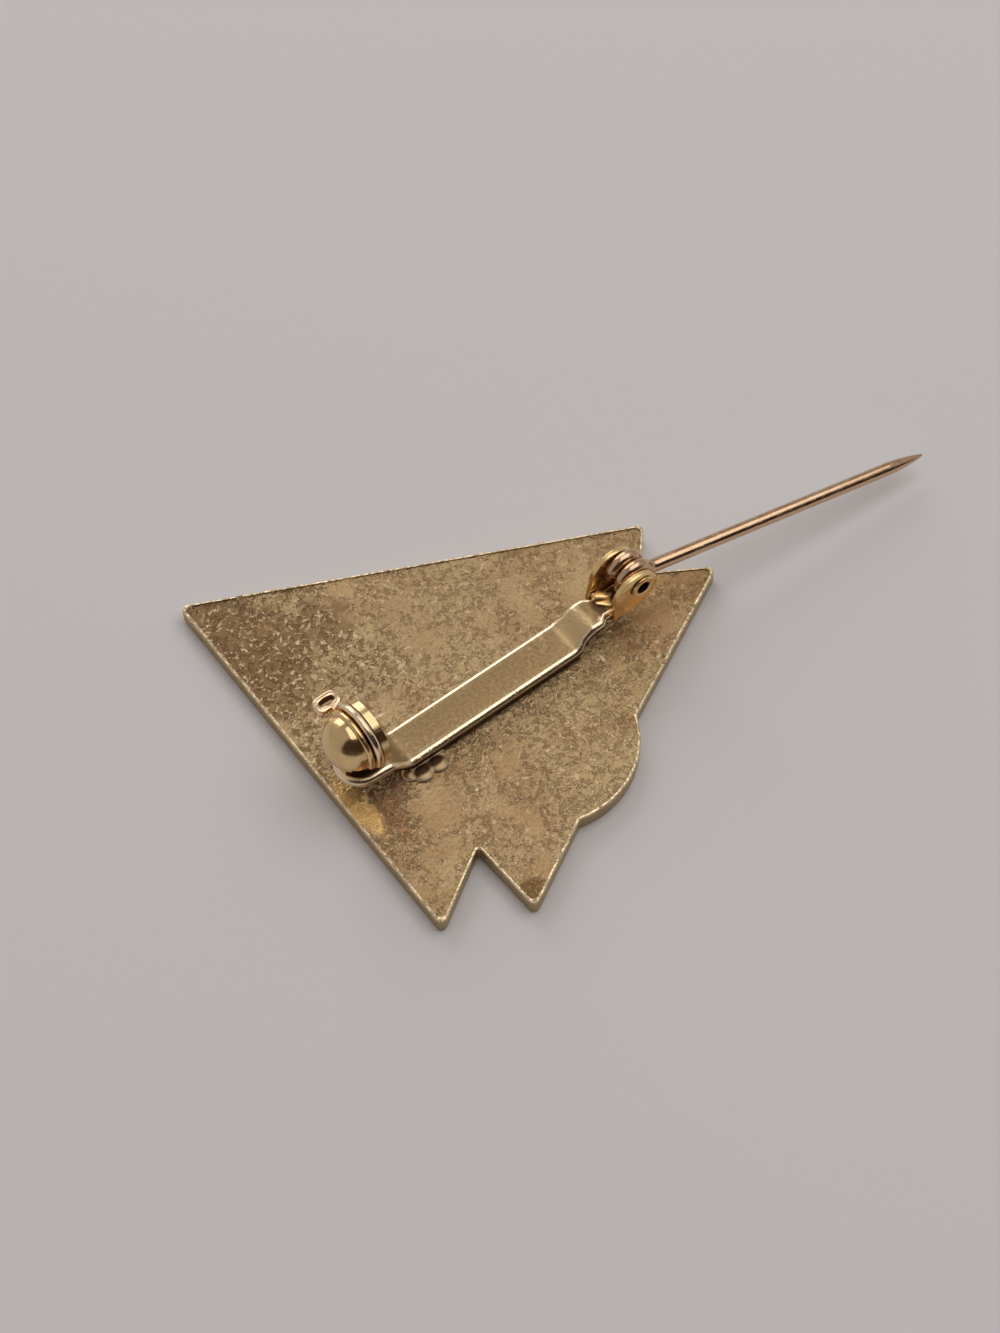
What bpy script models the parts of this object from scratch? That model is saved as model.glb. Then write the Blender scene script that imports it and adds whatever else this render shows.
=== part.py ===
"""Enamel lapel pin, lying face down with its fastening open.

The front face is at z = 0 and the back looks up. +X runs along the soldered bar, from the catch to the hinge.
The origin is on the front face, under the middle of the bar.
"""
import math

import bmesh
import bpy
from mathutils import Matrix, Vector

MM = 0.001

# Plate, seen from the back
PLATE_LENGTH = 29.9 * MM
PLATE_WIDTH = 31.25 * MM
PLATE_THICKNESS = 1.2 * MM
BACK_ROUNDING = 0.22 * MM
FRONT_ROUNDING = 0.1 * MM
TIP_RADIUS = 0.45 * MM
NOTCH_RADIUS = 0.2 * MM
BULGE_HEIGHT = 1.55 * MM

# Front recess and its enamel
RIM_WIDTH = 0.8 * MM
ENAMEL_THICKNESS = 0.4 * MM
SEAT_GAP = 0.08 * MM

# Bar: one strip, soldered flat in the middle and stepped up at both ends
BAR_WIDTH = 3.0 * MM
BAR_STRAIGHT = 13.6 * MM
STRIP_THICKNESS = 0.5 * MM
SOLDER_THICKNESS = 0.3 * MM
STEP_RISE = 1.05 * MM
STEP_RUN = 1.0 * MM
STRIP_ROUNDING = 0.1 * MM
WAIST_WIDTH = 2.5 * MM
WAIST_START = 7.9 * MM
PAD_RADIUS = 1.75 * MM
PAD_END = 11.15 * MM
SINK = 0.15 * MM

# Hinge
HINGE_X = 11.85 * MM
HINGE_HEIGHT = 1.7 * MM
WIRE_DIAMETER = 0.9 * MM
COIL_RADIUS = 1.02 * MM
TURN_GAP = 0.04 * MM
RUNNING_GAP = 0.06 * MM
EAR_THICKNESS = 0.35 * MM
EAR_RADIUS = 1.75 * MM
EAR_ABOVE = 1.3 * MM
EAR_BEHIND = 2.2 * MM
EAR_FOOT_WIDTH = 2.4 * MM
EAR_FOOT_RISE = 1.3 * MM
RIVET_RADIUS = 0.49 * MM
RIVET_BORE = 0.34 * MM
RIVET_FLARE = 0.6 * MM
RIVET_HEAD_RADIUS = 0.95 * MM
RIVET_HEAD_HEIGHT = 0.12 * MM
STOP_X = 9.9 * MM
STOP_HEIGHT = 0.55 * MM
STOP_THICKNESS = 0.3 * MM

# Stem, open as it lies
STEM_LENGTH = 21.9 * MM
STEM_DIP = 7.9
STEM_SPLAY = 7.2
STEM_DROP = 0.25 * MM
ROOT_REACH = 1.9 * MM
POINT_LENGTH = 3.0 * MM
POINT_RADIUS = 0.06 * MM
POINT_FULLNESS = 0.6
WIRE_END_ANGLE = 520.0
LEAVE_ANGLE = 24.0
CROSSING_ANGLE = 380.0
CROSSED_ANGLE = 205.0

# Catch
CATCH_X = -9.3 * MM
CATCH_Y = 0.35 * MM
CATCH_HEIGHT = 2.62 * MM
CHEEK_RADIUS = 2.2 * MM
CHEEK_THICKNESS = 0.5 * MM
DOME_RADIUS = 2.02 * MM
DOME_DEPTH = 1.75 * MM
DOME_WALL = 0.7 * MM
FLANGE_RADIUS = 2.14 * MM
FLANGE_THICKNESS = 0.32 * MM
ROTOR_RADIUS = 2.36 * MM
ROTOR_THICKNESS = 0.5 * MM
HUB_RADIUS = 1.05 * MM
STEM_HOLE = 0.58 * MM
THROAT_WIDTH = 1.12 * MM
THROAT_ANGLE = 215.0
NECK_WIDTH = 1.5 * MM
NECK_OFFSET = 0.3 * MM
DOME_NECK_LENGTH = 1.2 * MM
HUB_END_GAP = 0.47 * MM
LOOP_LENGTH = 1.75 * MM
LOOP_DEPTH = 1.15 * MM
LOOP_WALL = 0.28 * MM
LOOP_THICKNESS = 0.35 * MM
LOOP_REACH = 3.7 * MM
LOOP_SHIFT = 0.2 * MM
STALK_WIDTH = 0.45 * MM

# Facets
CORNER_STEPS = 4
BULGE_STEPS = 10
ROUND_SIDES = 32
WIRE_SIDES = 12
COIL_STEPS = 42
BEND_STEPS = 5

# Rounding and merging
CORNER_SHARE = 0.45
ROUND_PROFILE = 0.5
FACES_UP = 0.6
UPRIGHT = 0.1
SAME_LEVEL = 0.01 * MM
MERGE_DISTANCE = 0.0005 * MM
SMOOTH_ANGLE = 35
WIRE_SMOOTH_ANGLE = 60

# Places worked out from the sizes above
BAR_TOP = PLATE_THICKNESS + SOLDER_THICKNESS + STRIP_THICKNESS
END_TOP = BAR_TOP + STEP_RISE
STEP_END = BAR_STRAIGHT / 2 + STEP_RUN
HINGE_Z = END_TOP + HINGE_HEIGHT
CATCH_Z = END_TOP + CATCH_HEIGHT
TURN_PITCH = WIRE_DIAMETER + TURN_GAP
EAR_INSIDE = TURN_PITCH / 2 + WIRE_DIAMETER / 2 + RUNNING_GAP
EAR_OUTSIDE = EAR_INSIDE + EAR_THICKNESS
EAR_LEFT = HINGE_X - EAR_BEHIND
HINGE_END = EAR_LEFT + EAR_FOOT_WIDTH
SLOT_HALF = ROTOR_THICKNESS / 2 + RUNNING_GAP
CHEEK_FACE = CATCH_X + SLOT_HALF
DOME_FACE = CATCH_X - SLOT_HALF
DOME_ROOT = DOME_FACE - FLANGE_THICKNESS
DOME_FLOOR = DOME_ROOT - DOME_DEPTH + DOME_WALL

# Plate corners: shares of its length and width from the origin, and what each corner is.
# The side from "bulge start" to "bulge end" is a round bulge, not a straight line.
PLATE_CORNERS = (
    # kind, share of length, share of width
    ("tip", -0.378, 0.574),
    ("tip", -0.399, -0.363),
    ("notch", -0.229, -0.265),
    ("tip", -0.224, -0.441),
    ("bulge start", -0.023, -0.341),
    ("bulge end", 0.231, -0.225),
    ("tip", 0.621, -0.045),
    ("notch", 0.475, 0.041),
    ("tip", 0.564, 0.134),
)

BRASS_BACK = (0.36, 0.27, 0.14, 1.0)
BRASS_PALE = (0.62, 0.52, 0.34, 1.0)
ENAMEL_BLUE = (0.012, 0.03, 0.13, 1.0)


def clear_scene():
    for thing in list(bpy.data.objects):
        bpy.data.objects.remove(thing, do_unlink=True)


def make_material(name, colour, roughness, metallic):
    material = bpy.data.materials.new(name)
    material.use_nodes = True
    shader = material.node_tree.nodes["Principled BSDF"]
    shader.inputs["Base Color"].default_value = colour
    shader.inputs["Roughness"].default_value = roughness
    shader.inputs["Metallic"].default_value = metallic
    return material


def make_object(name, mesh):
    thing = bpy.data.objects.new(name, mesh)
    bpy.context.scene.collection.objects.link(thing)
    return thing


def mesh_from(bm, name):
    bmesh.ops.recalc_face_normals(bm, faces=bm.faces)
    mesh = bpy.data.meshes.new(name)
    bm.to_mesh(mesh)
    bm.free()
    return mesh


def prism(name, outline, low, high, axis="Z"):
    """A closed prism: an outline of (u, v) points, extruded along one axis from low to high."""
    place = {
        "X": lambda u, v, w: (w, u, v),
        "Y": lambda u, v, w: (u, w, v),
        "Z": lambda u, v, w: (u, v, w),
    }[axis]
    bm = bmesh.new()
    corners = [bm.verts.new(place(u, v, low)) for u, v in outline]
    face = bm.faces.new(corners)
    swept = bmesh.ops.extrude_face_region(bm, geom=[face])
    moved = [item for item in swept["geom"] if isinstance(item, bmesh.types.BMVert)]
    shift = Vector(place(0, 0, high)) - Vector(place(0, 0, low))
    bmesh.ops.translate(bm, verts=moved, vec=shift)
    return make_object(name, mesh_from(bm, name))


def circle(centre_u, centre_v, radius, sides=ROUND_SIDES):
    points = []
    for step in range(sides):
        angle = 2 * math.pi * (step + 0.5) / sides
        points.append((centre_u + radius * math.cos(angle), centre_v + radius * math.sin(angle)))
    return points


def rod(name, centre_u, centre_v, radius, low, high, axis):
    return prism(name, circle(centre_u, centre_v, radius), low, high, axis)


def box(name, low, high):
    outline = [(low[0], low[1]), (high[0], low[1]), (high[0], high[1]), (low[0], high[1])]
    return prism(name, outline, low[2], high[2])


def combine(target, other, operation):
    """Apply one exact Boolean to target, then remove the other solid."""
    modifier = target.modifiers.new(operation.lower(), "BOOLEAN")
    modifier.operation = operation
    modifier.solver = "EXACT"
    modifier.object = other
    graph = bpy.context.evaluated_depsgraph_get()
    result = bpy.data.meshes.new_from_object(target.evaluated_get(graph))
    target.modifiers.clear()
    target.data = result
    bpy.data.objects.remove(other, do_unlink=True)
    return target


def join_all(target, others):
    for other in others:
        combine(target, other, "UNION")
    return target


def cut_all(target, others):
    for other in others:
        combine(target, other, "DIFFERENCE")
    return target


def bevel_edges(target, width, keep, segments=2):
    """Round the edges of target for which keep(edge) is true."""
    bm = bmesh.new()
    bm.from_mesh(target.data)
    edges = [edge for edge in bm.edges if keep(edge)]
    bmesh.ops.bevel(
        bm,
        geom=edges,
        offset=width,
        segments=segments,
        profile=ROUND_PROFILE,
        affect="EDGES",
        clamp_overlap=True,
    )
    bm.to_mesh(target.data)
    bm.free()
    return target


def finish(target, material, smooth_angle=SMOOTH_ANGLE):
    """Merge doubles, point the faces out, shade round stretches smooth and set the material."""
    bm = bmesh.new()
    bm.from_mesh(target.data)
    bmesh.ops.remove_doubles(bm, verts=bm.verts, dist=MERGE_DISTANCE)
    bmesh.ops.dissolve_degenerate(bm, edges=bm.edges, dist=MERGE_DISTANCE)
    bmesh.ops.recalc_face_normals(bm, faces=bm.faces)
    bm.to_mesh(target.data)
    bm.free()
    target.data.materials.clear()
    target.data.materials.append(material)
    target.data.shade_smooth()
    target.data.set_sharp_from_angle(angle=math.radians(smooth_angle))
    return target


def set_origin(target, place):
    """Put the object's origin at place without moving its solid."""
    target.data.transform(Matrix.Translation(-Vector(place)))
    target.location = place
    return target


def bulge_points(start, end, height):
    """Points of the arc from start to end, height proud of its chord, on the right of the way."""
    chord = end - start
    radius = (chord.length_squared / 4 + height * height) / (2 * height)
    side = Vector((chord.y, -chord.x)).normalized()
    centre = (start + end) / 2 + side * (height - radius)
    first = start - centre
    sweep = 2 * math.asin(chord.length / (2 * radius))
    points = []
    for step in range(BULGE_STEPS + 1):
        angle = sweep * step / BULGE_STEPS
        turn = Matrix.Rotation(angle, 2)
        points.append(centre + turn @ first)
    return points


def plate_corner_points():
    """The plate's outline before its corners are rounded, as (point, corner radius) pairs."""
    radii = {"tip": TIP_RADIUS, "notch": NOTCH_RADIUS}
    rows = [(kind, Vector((u * PLATE_LENGTH, v * PLATE_WIDTH))) for kind, u, v in PLATE_CORNERS]
    points = []
    for index, (kind, place) in enumerate(rows):
        if kind == "bulge start":
            arc = bulge_points(place, rows[index + 1][1], BULGE_HEIGHT)
            points.extend((point, 0.0) for point in arc)
        elif kind != "bulge end":
            points.append((place, radii[kind]))
    return points


def inset_points(points, distance):
    """Move every side of an anticlockwise outline inwards; a notch keeps its rim's width round its corner."""
    moved = []
    count = len(points)
    for index in range(count):
        here, radius = points[index]
        before = (here - points[index - 1][0]).normalized()
        after = (points[(index + 1) % count][0] - here).normalized()
        inward_before = Vector((-before.y, before.x))
        inward_after = Vector((-after.y, after.x))
        middle = (inward_before + inward_after).normalized()
        reach = distance / middle.dot(inward_before)
        turn = before.x * after.y - before.y * after.x
        new_radius = radius + distance if turn < 0 and radius > 0 else radius
        moved.append((here + middle * reach, new_radius))
    return moved


def rounded(points):
    """Replace each corner that has a radius with an arc that touches both of its sides."""
    outline = []
    count = len(points)
    for index in range(count):
        here, radius = points[index]
        if radius <= 0:
            outline.append(tuple(here))
            continue
        back = (points[index - 1][0] - here).normalized()
        ahead = (points[(index + 1) % count][0] - here).normalized()
        half = back.angle(ahead) / 2
        room = min((points[index - 1][0] - here).length, (points[(index + 1) % count][0] - here).length)
        reach = min(radius / math.tan(half), CORNER_SHARE * room)
        fitted = reach * math.tan(half)
        centre = here + (back + ahead).normalized() * (fitted / math.sin(half))
        start = here + back * reach - centre
        end = here + ahead * reach - centre
        sweep = start.angle_signed(end)
        for step in range(CORNER_STEPS + 1):
            turn = Matrix.Rotation(-sweep * step / CORNER_STEPS, 2)
            outline.append(tuple(centre + turn @ start))
    return outline


def build_plate():
    """The stamped plate, rounded at the back and recessed in front for the enamel."""
    plate = prism("plate_and_bar", rounded(plate_corner_points()), 0.0, PLATE_THICKNESS)

    def around(height):
        return lambda edge: all(abs(vert.co.z - height) < SAME_LEVEL for vert in edge.verts)

    bevel_edges(plate, BACK_ROUNDING, around(PLATE_THICKNESS))
    bevel_edges(plate, FRONT_ROUNDING, around(0.0), segments=1)
    recess = rounded(inset_points(plate_corner_points(), RIM_WIDTH))
    depth = ENAMEL_THICKNESS + SEAT_GAP
    return cut_all(plate, [prism("recess", recess, -depth, depth)])


def build_enamel():
    """The enamel, level with the rim and clear of it all round."""
    outline = rounded(inset_points(plate_corner_points(), RIM_WIDTH + SEAT_GAP))
    return prism("enamel_fill", outline, 0.0, ENAMEL_THICKNESS)


def bar_side_profile():
    """The strip seen from the side: soldered middle, two steps, two raised ends."""
    flat = BAR_STRAIGHT / 2
    under = END_TOP - STRIP_THICKNESS
    slant = math.atan2(STEP_RISE, STEP_RUN)
    lean = STRIP_THICKNESS * math.tan(slant / 2)
    bottom = PLATE_THICKNESS - SINK
    return [
        (-PAD_END, under),
        (-STEP_END - lean, under),
        (-flat - lean, PLATE_THICKNESS),
        (-flat - lean, bottom),
        (flat + lean, bottom),
        (flat + lean, PLATE_THICKNESS),
        (STEP_END + lean, under),
        (HINGE_END, under),
        (HINGE_END, END_TOP),
        (STEP_END, END_TOP),
        (flat, BAR_TOP),
        (-flat, BAR_TOP),
        (-STEP_END, END_TOP),
        (-PAD_END, END_TOP),
    ]


def bar_plan():
    """The strip seen from above: a round pad under the catch, a waist before the ears."""
    half = BAR_WIDTH / 2
    waist = WAIST_WIDTH / 2
    hinge = [
        (STEP_END, -half),
        (WAIST_START, -waist),
        (EAR_LEFT - SINK, -waist),
        (EAR_LEFT, -EAR_INSIDE - SINK),
        (HINGE_END, -EAR_INSIDE - SINK),
    ]
    back = [(u, -v) for u, v in reversed(hinge)]
    centre = PAD_RADIUS - PAD_END
    pad = [(-STEP_END, half)]
    for step in range(2 * CORNER_STEPS + 1):
        angle = math.pi / 2 + math.pi * step / (2 * CORNER_STEPS)
        pad.append((centre + PAD_RADIUS * math.cos(angle), CATCH_Y + PAD_RADIUS * math.sin(angle)))
    pad.append((-STEP_END, -half))
    return hinge + back + pad


def build_bar():
    strip = prism("strip", bar_side_profile(), -BAR_WIDTH, BAR_WIDTH, "Y")
    plan = prism("plan", bar_plan(), 0.0, END_TOP + SINK)
    combine(strip, plan, "INTERSECT")

    def top_rim(edge):
        if len(edge.link_faces) != 2:
            return False
        normals = [face.normal.z for face in edge.link_faces]
        return max(normals) > FACES_UP and abs(min(normals)) < UPRIGHT

    return bevel_edges(strip, STRIP_ROUNDING, top_rim, segments=1)


def ear_outline():
    """One ear from the side: a tapered foot on the strip under a half-round top."""
    low = END_TOP - STRIP_THICKNESS
    centre_u = EAR_LEFT + EAR_RADIUS
    centre_v = HINGE_Z + EAR_ABOVE - EAR_RADIUS
    points = [(EAR_LEFT, low), (HINGE_END, low), (centre_u + EAR_RADIUS, low + EAR_FOOT_RISE)]
    count = ROUND_SIDES // 2
    for step in range(count + 1):
        angle = math.pi * step / count
        points.append((centre_u + EAR_RADIUS * math.cos(angle), centre_v + EAR_RADIUS * math.sin(angle)))
    return points


def build_ears():
    """Both ears, with the rivet's hole through them, and the stop that stands before the coil."""
    pieces = []
    for side in (-1, 1):
        inner, outer = sorted((side * EAR_INSIDE, side * EAR_OUTSIDE))
        ear = prism("ear", ear_outline(), inner, outer, "Y")
        bore = RIVET_RADIUS + RUNNING_GAP
        hole = rod("hole", HINGE_X, HINGE_Z, bore, inner - SINK, outer + SINK, "Y")
        pieces.append(cut_all(ear, [hole]))
    low = (STOP_X - STOP_THICKNESS / 2, -EAR_INSIDE - SINK, END_TOP - SINK)
    high = (STOP_X + STOP_THICKNESS / 2, EAR_INSIDE + SINK, END_TOP + STOP_HEIGHT)
    pieces.append(box("stop", low, high))
    return pieces


def throat(low, high):
    """The slot by which the stem enters, from the middle of the catch out past its rim."""
    angle = math.radians(THROAT_ANGLE)
    outward = Vector((math.cos(angle), math.sin(angle)))
    side = Vector((-outward.y, outward.x)) * THROAT_WIDTH / 2
    centre = Vector((CATCH_Y, CATCH_Z))
    far = centre + outward * (ROTOR_RADIUS + SINK)
    outline = [tuple(centre - side), tuple(far - side), tuple(far + side), tuple(centre + side)]
    return prism("throat", outline, low, high, "X")


def neck(low, high):
    """The neck that carries one cheek, set towards the side away from the throat."""
    near = CATCH_Y + NECK_OFFSET - NECK_WIDTH / 2
    far = CATCH_Y + NECK_OFFSET + NECK_WIDTH / 2
    return box("neck", (low, near, END_TOP - SINK), (high, far, CATCH_Z - HUB_RADIUS - 2 * SINK))


def catch_rod(name, radius, low, high):
    return rod(name, CATCH_Y, CATCH_Z, radius, low, high, "X")


def dome_profile():
    """Half section of the domed cheek, as (x, radius) from its flange towards its pole."""
    points = [(DOME_FACE, FLANGE_RADIUS), (DOME_ROOT, FLANGE_RADIUS)]
    count = ROUND_SIDES // 4
    for step in range(count):
        angle = math.pi / 2 * step / count
        points.append((DOME_ROOT - DOME_DEPTH * math.sin(angle), DOME_RADIUS * math.cos(angle)))
    return points


def build_dome():
    """The domed cheek: a turned solid with its axis along X."""
    bm = bmesh.new()
    rings = []
    for x, radius in dome_profile():
        rings.append([bm.verts.new((x, u, v)) for u, v in circle(CATCH_Y, CATCH_Z, radius)])
    pole = bm.verts.new((DOME_ROOT - DOME_DEPTH, CATCH_Y, CATCH_Z))
    bm.faces.new(rings[0])
    for near, far in zip(rings, rings[1:]):
        for index in range(ROUND_SIDES):
            following = (index + 1) % ROUND_SIDES
            bm.faces.new((near[index], near[following], far[following], far[index]))
    for index in range(ROUND_SIDES):
        bm.faces.new((rings[-1][index], rings[-1][(index + 1) % ROUND_SIDES], pole))
    return make_object("dome", mesh_from(bm, "dome"))


def build_catch():
    """Both cheeks on their necks, bored for the rotor's hub and cut by the throat."""
    cheek_end = CHEEK_FACE + CHEEK_THICKNESS
    cheek = catch_rod("cheek", CHEEK_RADIUS, CHEEK_FACE, cheek_end)
    combine(cheek, neck(CHEEK_FACE, cheek_end), "UNION")
    dome = combine(build_dome(), neck(DOME_FACE - DOME_NECK_LENGTH, DOME_FACE), "UNION")
    for piece in (cheek, dome):
        bore = catch_rod("bore", HUB_RADIUS + RUNNING_GAP, DOME_FLOOR, cheek_end + SINK)
        cut_all(piece, [bore, throat(DOME_FLOOR, cheek_end + SINK)])
    return [cheek, dome]


def build_loop():
    """The square loop by which the rotor is turned, with the stalk that carries it."""
    low = CATCH_Z - LOOP_THICKNESS / 2
    high = CATCH_Z + LOOP_THICKNESS / 2
    outer = CATCH_Y + LOOP_REACH
    inner = outer - LOOP_DEPTH
    left = CATCH_X - LOOP_SHIFT - LOOP_LENGTH / 2
    right = left + LOOP_LENGTH
    loop = box("loop", (left, inner, low), (right, outer, high))
    eye_low = (left + LOOP_WALL, inner + LOOP_WALL, low - SINK)
    eye_high = (right - LOOP_WALL, outer - LOOP_WALL, high + SINK)
    cut_all(loop, [box("eye", eye_low, eye_high)])
    half = STALK_WIDTH / 2
    root = CATCH_Y + ROTOR_RADIUS - SINK
    stalk = box("stalk", (CATCH_X - half, root, low), (CATCH_X + half, inner + SINK, high))
    return combine(loop, stalk, "UNION")


def build_rotor():
    """The rotor: a disc and hub with the throat's slot, and the loop that turns it."""
    half = ROTOR_THICKNESS / 2
    rotor = catch_rod("catch_rotor", ROTOR_RADIUS, CATCH_X - half, CATCH_X + half)
    near_end = CHEEK_FACE + CHEEK_THICKNESS
    far_end = DOME_FLOOR + HUB_END_GAP
    hub = catch_rod("hub", HUB_RADIUS, far_end, near_end)
    join_all(rotor, [hub, build_loop()])
    hole = catch_rod("stem_hole", STEM_HOLE, far_end - SINK, near_end + SINK)
    cut_all(rotor, [hole, throat(far_end - SINK, near_end + SINK)])
    return set_origin(rotor, (CATCH_X, CATCH_Y, CATCH_Z))


def rivet_profile():
    """Half section of the tubular rivet, as (y, radius): flared mouths and a head outside each ear."""
    seat = EAR_OUTSIDE + RUNNING_GAP
    end = seat + RIVET_HEAD_HEIGHT
    mouth = end - (RIVET_FLARE - RIVET_BORE)
    outside = [(end, RIVET_HEAD_RADIUS), (seat, RIVET_HEAD_RADIUS), (seat, RIVET_RADIUS)]
    inside = [(mouth, RIVET_BORE), (end, RIVET_FLARE)]
    half = outside + [(-y, radius) for y, radius in reversed(outside)]
    return half + [(-y, radius) for y, radius in reversed(inside)] + inside


def build_rivet():
    """The hollow rivet: its half section turned about the hinge's axis."""
    bm = bmesh.new()
    rings = []
    for y, radius in rivet_profile():
        rings.append([bm.verts.new((u, y, v)) for u, v in circle(HINGE_X, HINGE_Z, radius)])
    for near, far in zip(rings, rings[1:] + rings[:1]):
        for index in range(ROUND_SIDES):
            following = (index + 1) % ROUND_SIDES
            bm.faces.new((near[index], near[following], far[following], far[index]))
    return make_object("hinge_rivet", mesh_from(bm, "hinge_rivet"))


def stem_direction():
    dip = math.radians(STEM_DIP)
    splay = math.radians(STEM_SPLAY)
    return Vector((math.cos(splay) * math.cos(dip), -math.sin(splay) * math.cos(dip), -math.sin(dip)))


def coil_path():
    """The wire's middle line round the coil, from its cut end over the far turn to the near turn."""
    points = []
    for step in range(COIL_STEPS + 1):
        angle = WIRE_END_ANGLE + (LEAVE_ANGLE - WIRE_END_ANGLE) * step / COIL_STEPS
        share = (angle - CROSSED_ANGLE) / (CROSSING_ANGLE - CROSSED_ANGLE)
        share = min(max(share, 0.0), 1.0)
        eased = share * share * (3 - 2 * share)
        turn = math.radians(angle)
        x = HINGE_X + COIL_RADIUS * math.cos(turn)
        z = HINGE_Z + COIL_RADIUS * math.sin(turn)
        points.append(Vector((x, (eased - 0.5) * TURN_PITCH, z)))
    return points


def root_bend(leave, heading, root, along):
    """Points between the coil and the root, on a curve that leaves and arrives in the wire's own direction."""
    gap = (root - leave).length / 2
    first = leave + heading * gap
    second = root - along * gap
    points = []
    for step in range(1, BEND_STEPS):
        t = step / BEND_STEPS
        near = leave * (1 - t) + first * 3 * t
        far = second * 3 * (1 - t) + root * t
        points.append(near * (1 - t) ** 2 + far * t * t)
    return points


def stem_path():
    """Middle line and radius of the whole wire: coil, root bend, shank and point."""
    root = Vector((HINGE_X + ROOT_REACH, -TURN_PITCH / 2, HINGE_Z - STEM_DROP))
    along = stem_direction()
    coil = coil_path()
    heading = (coil[-1] - coil[-2]).normalized()
    wire = WIRE_DIAMETER / 2
    bend = root_bend(coil[-1], heading, root, along)
    path = [(point, wire) for point in coil + bend + [root]]
    path.append((root + along * (STEM_LENGTH - POINT_LENGTH), wire))
    path.append((root + along * (STEM_LENGTH - POINT_LENGTH / 2), (wire + POINT_RADIUS) * POINT_FULLNESS))
    path.append((root + along * STEM_LENGTH, POINT_RADIUS))
    return path


def build_stem():
    """One round wire swept along its path, closed at its cut end and at its point."""
    path = stem_path()
    bm = bmesh.new()
    rings = []
    side = Vector((0.0, 1.0, 0.0))
    for index, (place, radius) in enumerate(path):
        before = path[max(index - 1, 0)][0]
        after = path[min(index + 1, len(path) - 1)][0]
        along = (after - before).normalized()
        side = (side - along * side.dot(along)).normalized()
        up = along.cross(side)
        ring = []
        for u, v in circle(0.0, 0.0, radius, WIRE_SIDES):
            ring.append(bm.verts.new(place + side * u + up * v))
        rings.append(ring)
    bm.faces.new(rings[0])
    bm.faces.new(rings[-1])
    for near, far in zip(rings, rings[1:]):
        for index in range(WIRE_SIDES):
            following = (index + 1) % WIRE_SIDES
            bm.faces.new((near[index], near[following], far[following], far[index]))
    stem = make_object("pin_stem", mesh_from(bm, "pin_stem"))
    return set_origin(stem, (HINGE_X, 0.0, HINGE_Z))


def main():
    clear_scene()
    aged = make_material("aged_brass", BRASS_BACK, 0.45, 1.0)
    bright = make_material("worn_brass", BRASS_PALE, 0.25, 1.0)
    enamel = make_material("blue_enamel", ENAMEL_BLUE, 0.12, 0.0)
    body = build_plate()
    join_all(body, [build_bar()] + build_ears() + build_catch())
    finish(body, aged)
    finish(build_enamel(), enamel)
    finish(build_rivet(), bright)
    finish(build_stem(), bright, WIRE_SMOOTH_ANGLE)
    finish(build_rotor(), bright)


main()
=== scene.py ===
import math

import bmesh
import bpy
from mathutils import Matrix, Vector


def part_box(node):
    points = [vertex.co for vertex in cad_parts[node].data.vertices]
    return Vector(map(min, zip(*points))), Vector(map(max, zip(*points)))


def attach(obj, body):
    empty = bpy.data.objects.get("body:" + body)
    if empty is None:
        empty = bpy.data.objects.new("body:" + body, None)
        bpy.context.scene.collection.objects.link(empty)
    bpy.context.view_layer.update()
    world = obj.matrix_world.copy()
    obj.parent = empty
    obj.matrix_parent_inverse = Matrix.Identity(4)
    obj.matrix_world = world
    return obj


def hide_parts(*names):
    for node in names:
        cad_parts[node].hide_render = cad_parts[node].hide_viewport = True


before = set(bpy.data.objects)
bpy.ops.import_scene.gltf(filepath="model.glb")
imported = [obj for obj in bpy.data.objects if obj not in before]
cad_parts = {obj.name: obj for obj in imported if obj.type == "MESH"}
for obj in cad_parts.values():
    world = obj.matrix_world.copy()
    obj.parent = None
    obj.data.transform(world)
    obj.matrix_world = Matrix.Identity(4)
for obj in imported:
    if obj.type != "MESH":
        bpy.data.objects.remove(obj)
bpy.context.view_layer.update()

# The setting: a plain pale floor, the photograph's own angle, and soft studio light.
# One large softbox hangs almost overhead and a smaller one stands beyond the pin.
# A dark screen stands on the near side, and the polished metal mirrors all three.
MM = 0.001
EYE = Vector((-51.05, -66.76, 136.91)) * MM
LOOK_RIGHT = Vector((0.7866, -0.6174, 0.0))
LOOK_UP = Vector((0.5208, 0.6634, 0.5373))
LOOK_BACK = Vector((-0.3318, -0.4226, 0.8434))
LENS = 90.0
SENSOR = 36.0
FLOOR_SIZE = 6000 * MM
FLOOR_COLOUR = (0.71, 0.68, 0.685, 1.0)
FLOOR_ROUGHNESS = 0.9
ROOM_COLOUR = (0.40, 0.38, 0.355, 1.0)
SCREEN_WAY = Vector((-0.25, -0.95, 0.12))
SCREEN_REACH = 64.0
SCREEN_SOFTNESS = 6.0
SCREEN_COLOUR = (0.05, 0.032, 0.026, 1.0)
SOFTBOX_DISTANCE = 600 * MM
SOFTBOXES = (
    # the lamp's name, the way to it from the pin, its side, its power
    ("overhead_softbox", Vector((0.30, -0.08, 0.95)), 600 * MM, 1.4),
    ("far_softbox", Vector((0.19, 0.88, 0.44)), 400 * MM, 0.9),
)


def node(tree, kind, inputs=None, **settings):
    """Add one shader node, set its properties, and set or link its inputs by name or number."""
    made = tree.nodes.new(kind)
    for name, value in settings.items():
        setattr(made, name, value)
    for name, value in (inputs or {}).items():
        if isinstance(value, bpy.types.NodeSocket):
            tree.links.new(value, made.inputs[name])
        else:
            made.inputs[name].default_value = value
    return made


def mix_colours(tree, factor, first, second, blend="MIX"):
    """Mix two colours. The numbers are the places of the node's colour sockets."""
    values = {0: factor, 6: first, 7: second}
    return node(tree, "ShaderNodeMix", values, data_type="RGBA", blend_type=blend).outputs[2]


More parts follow.
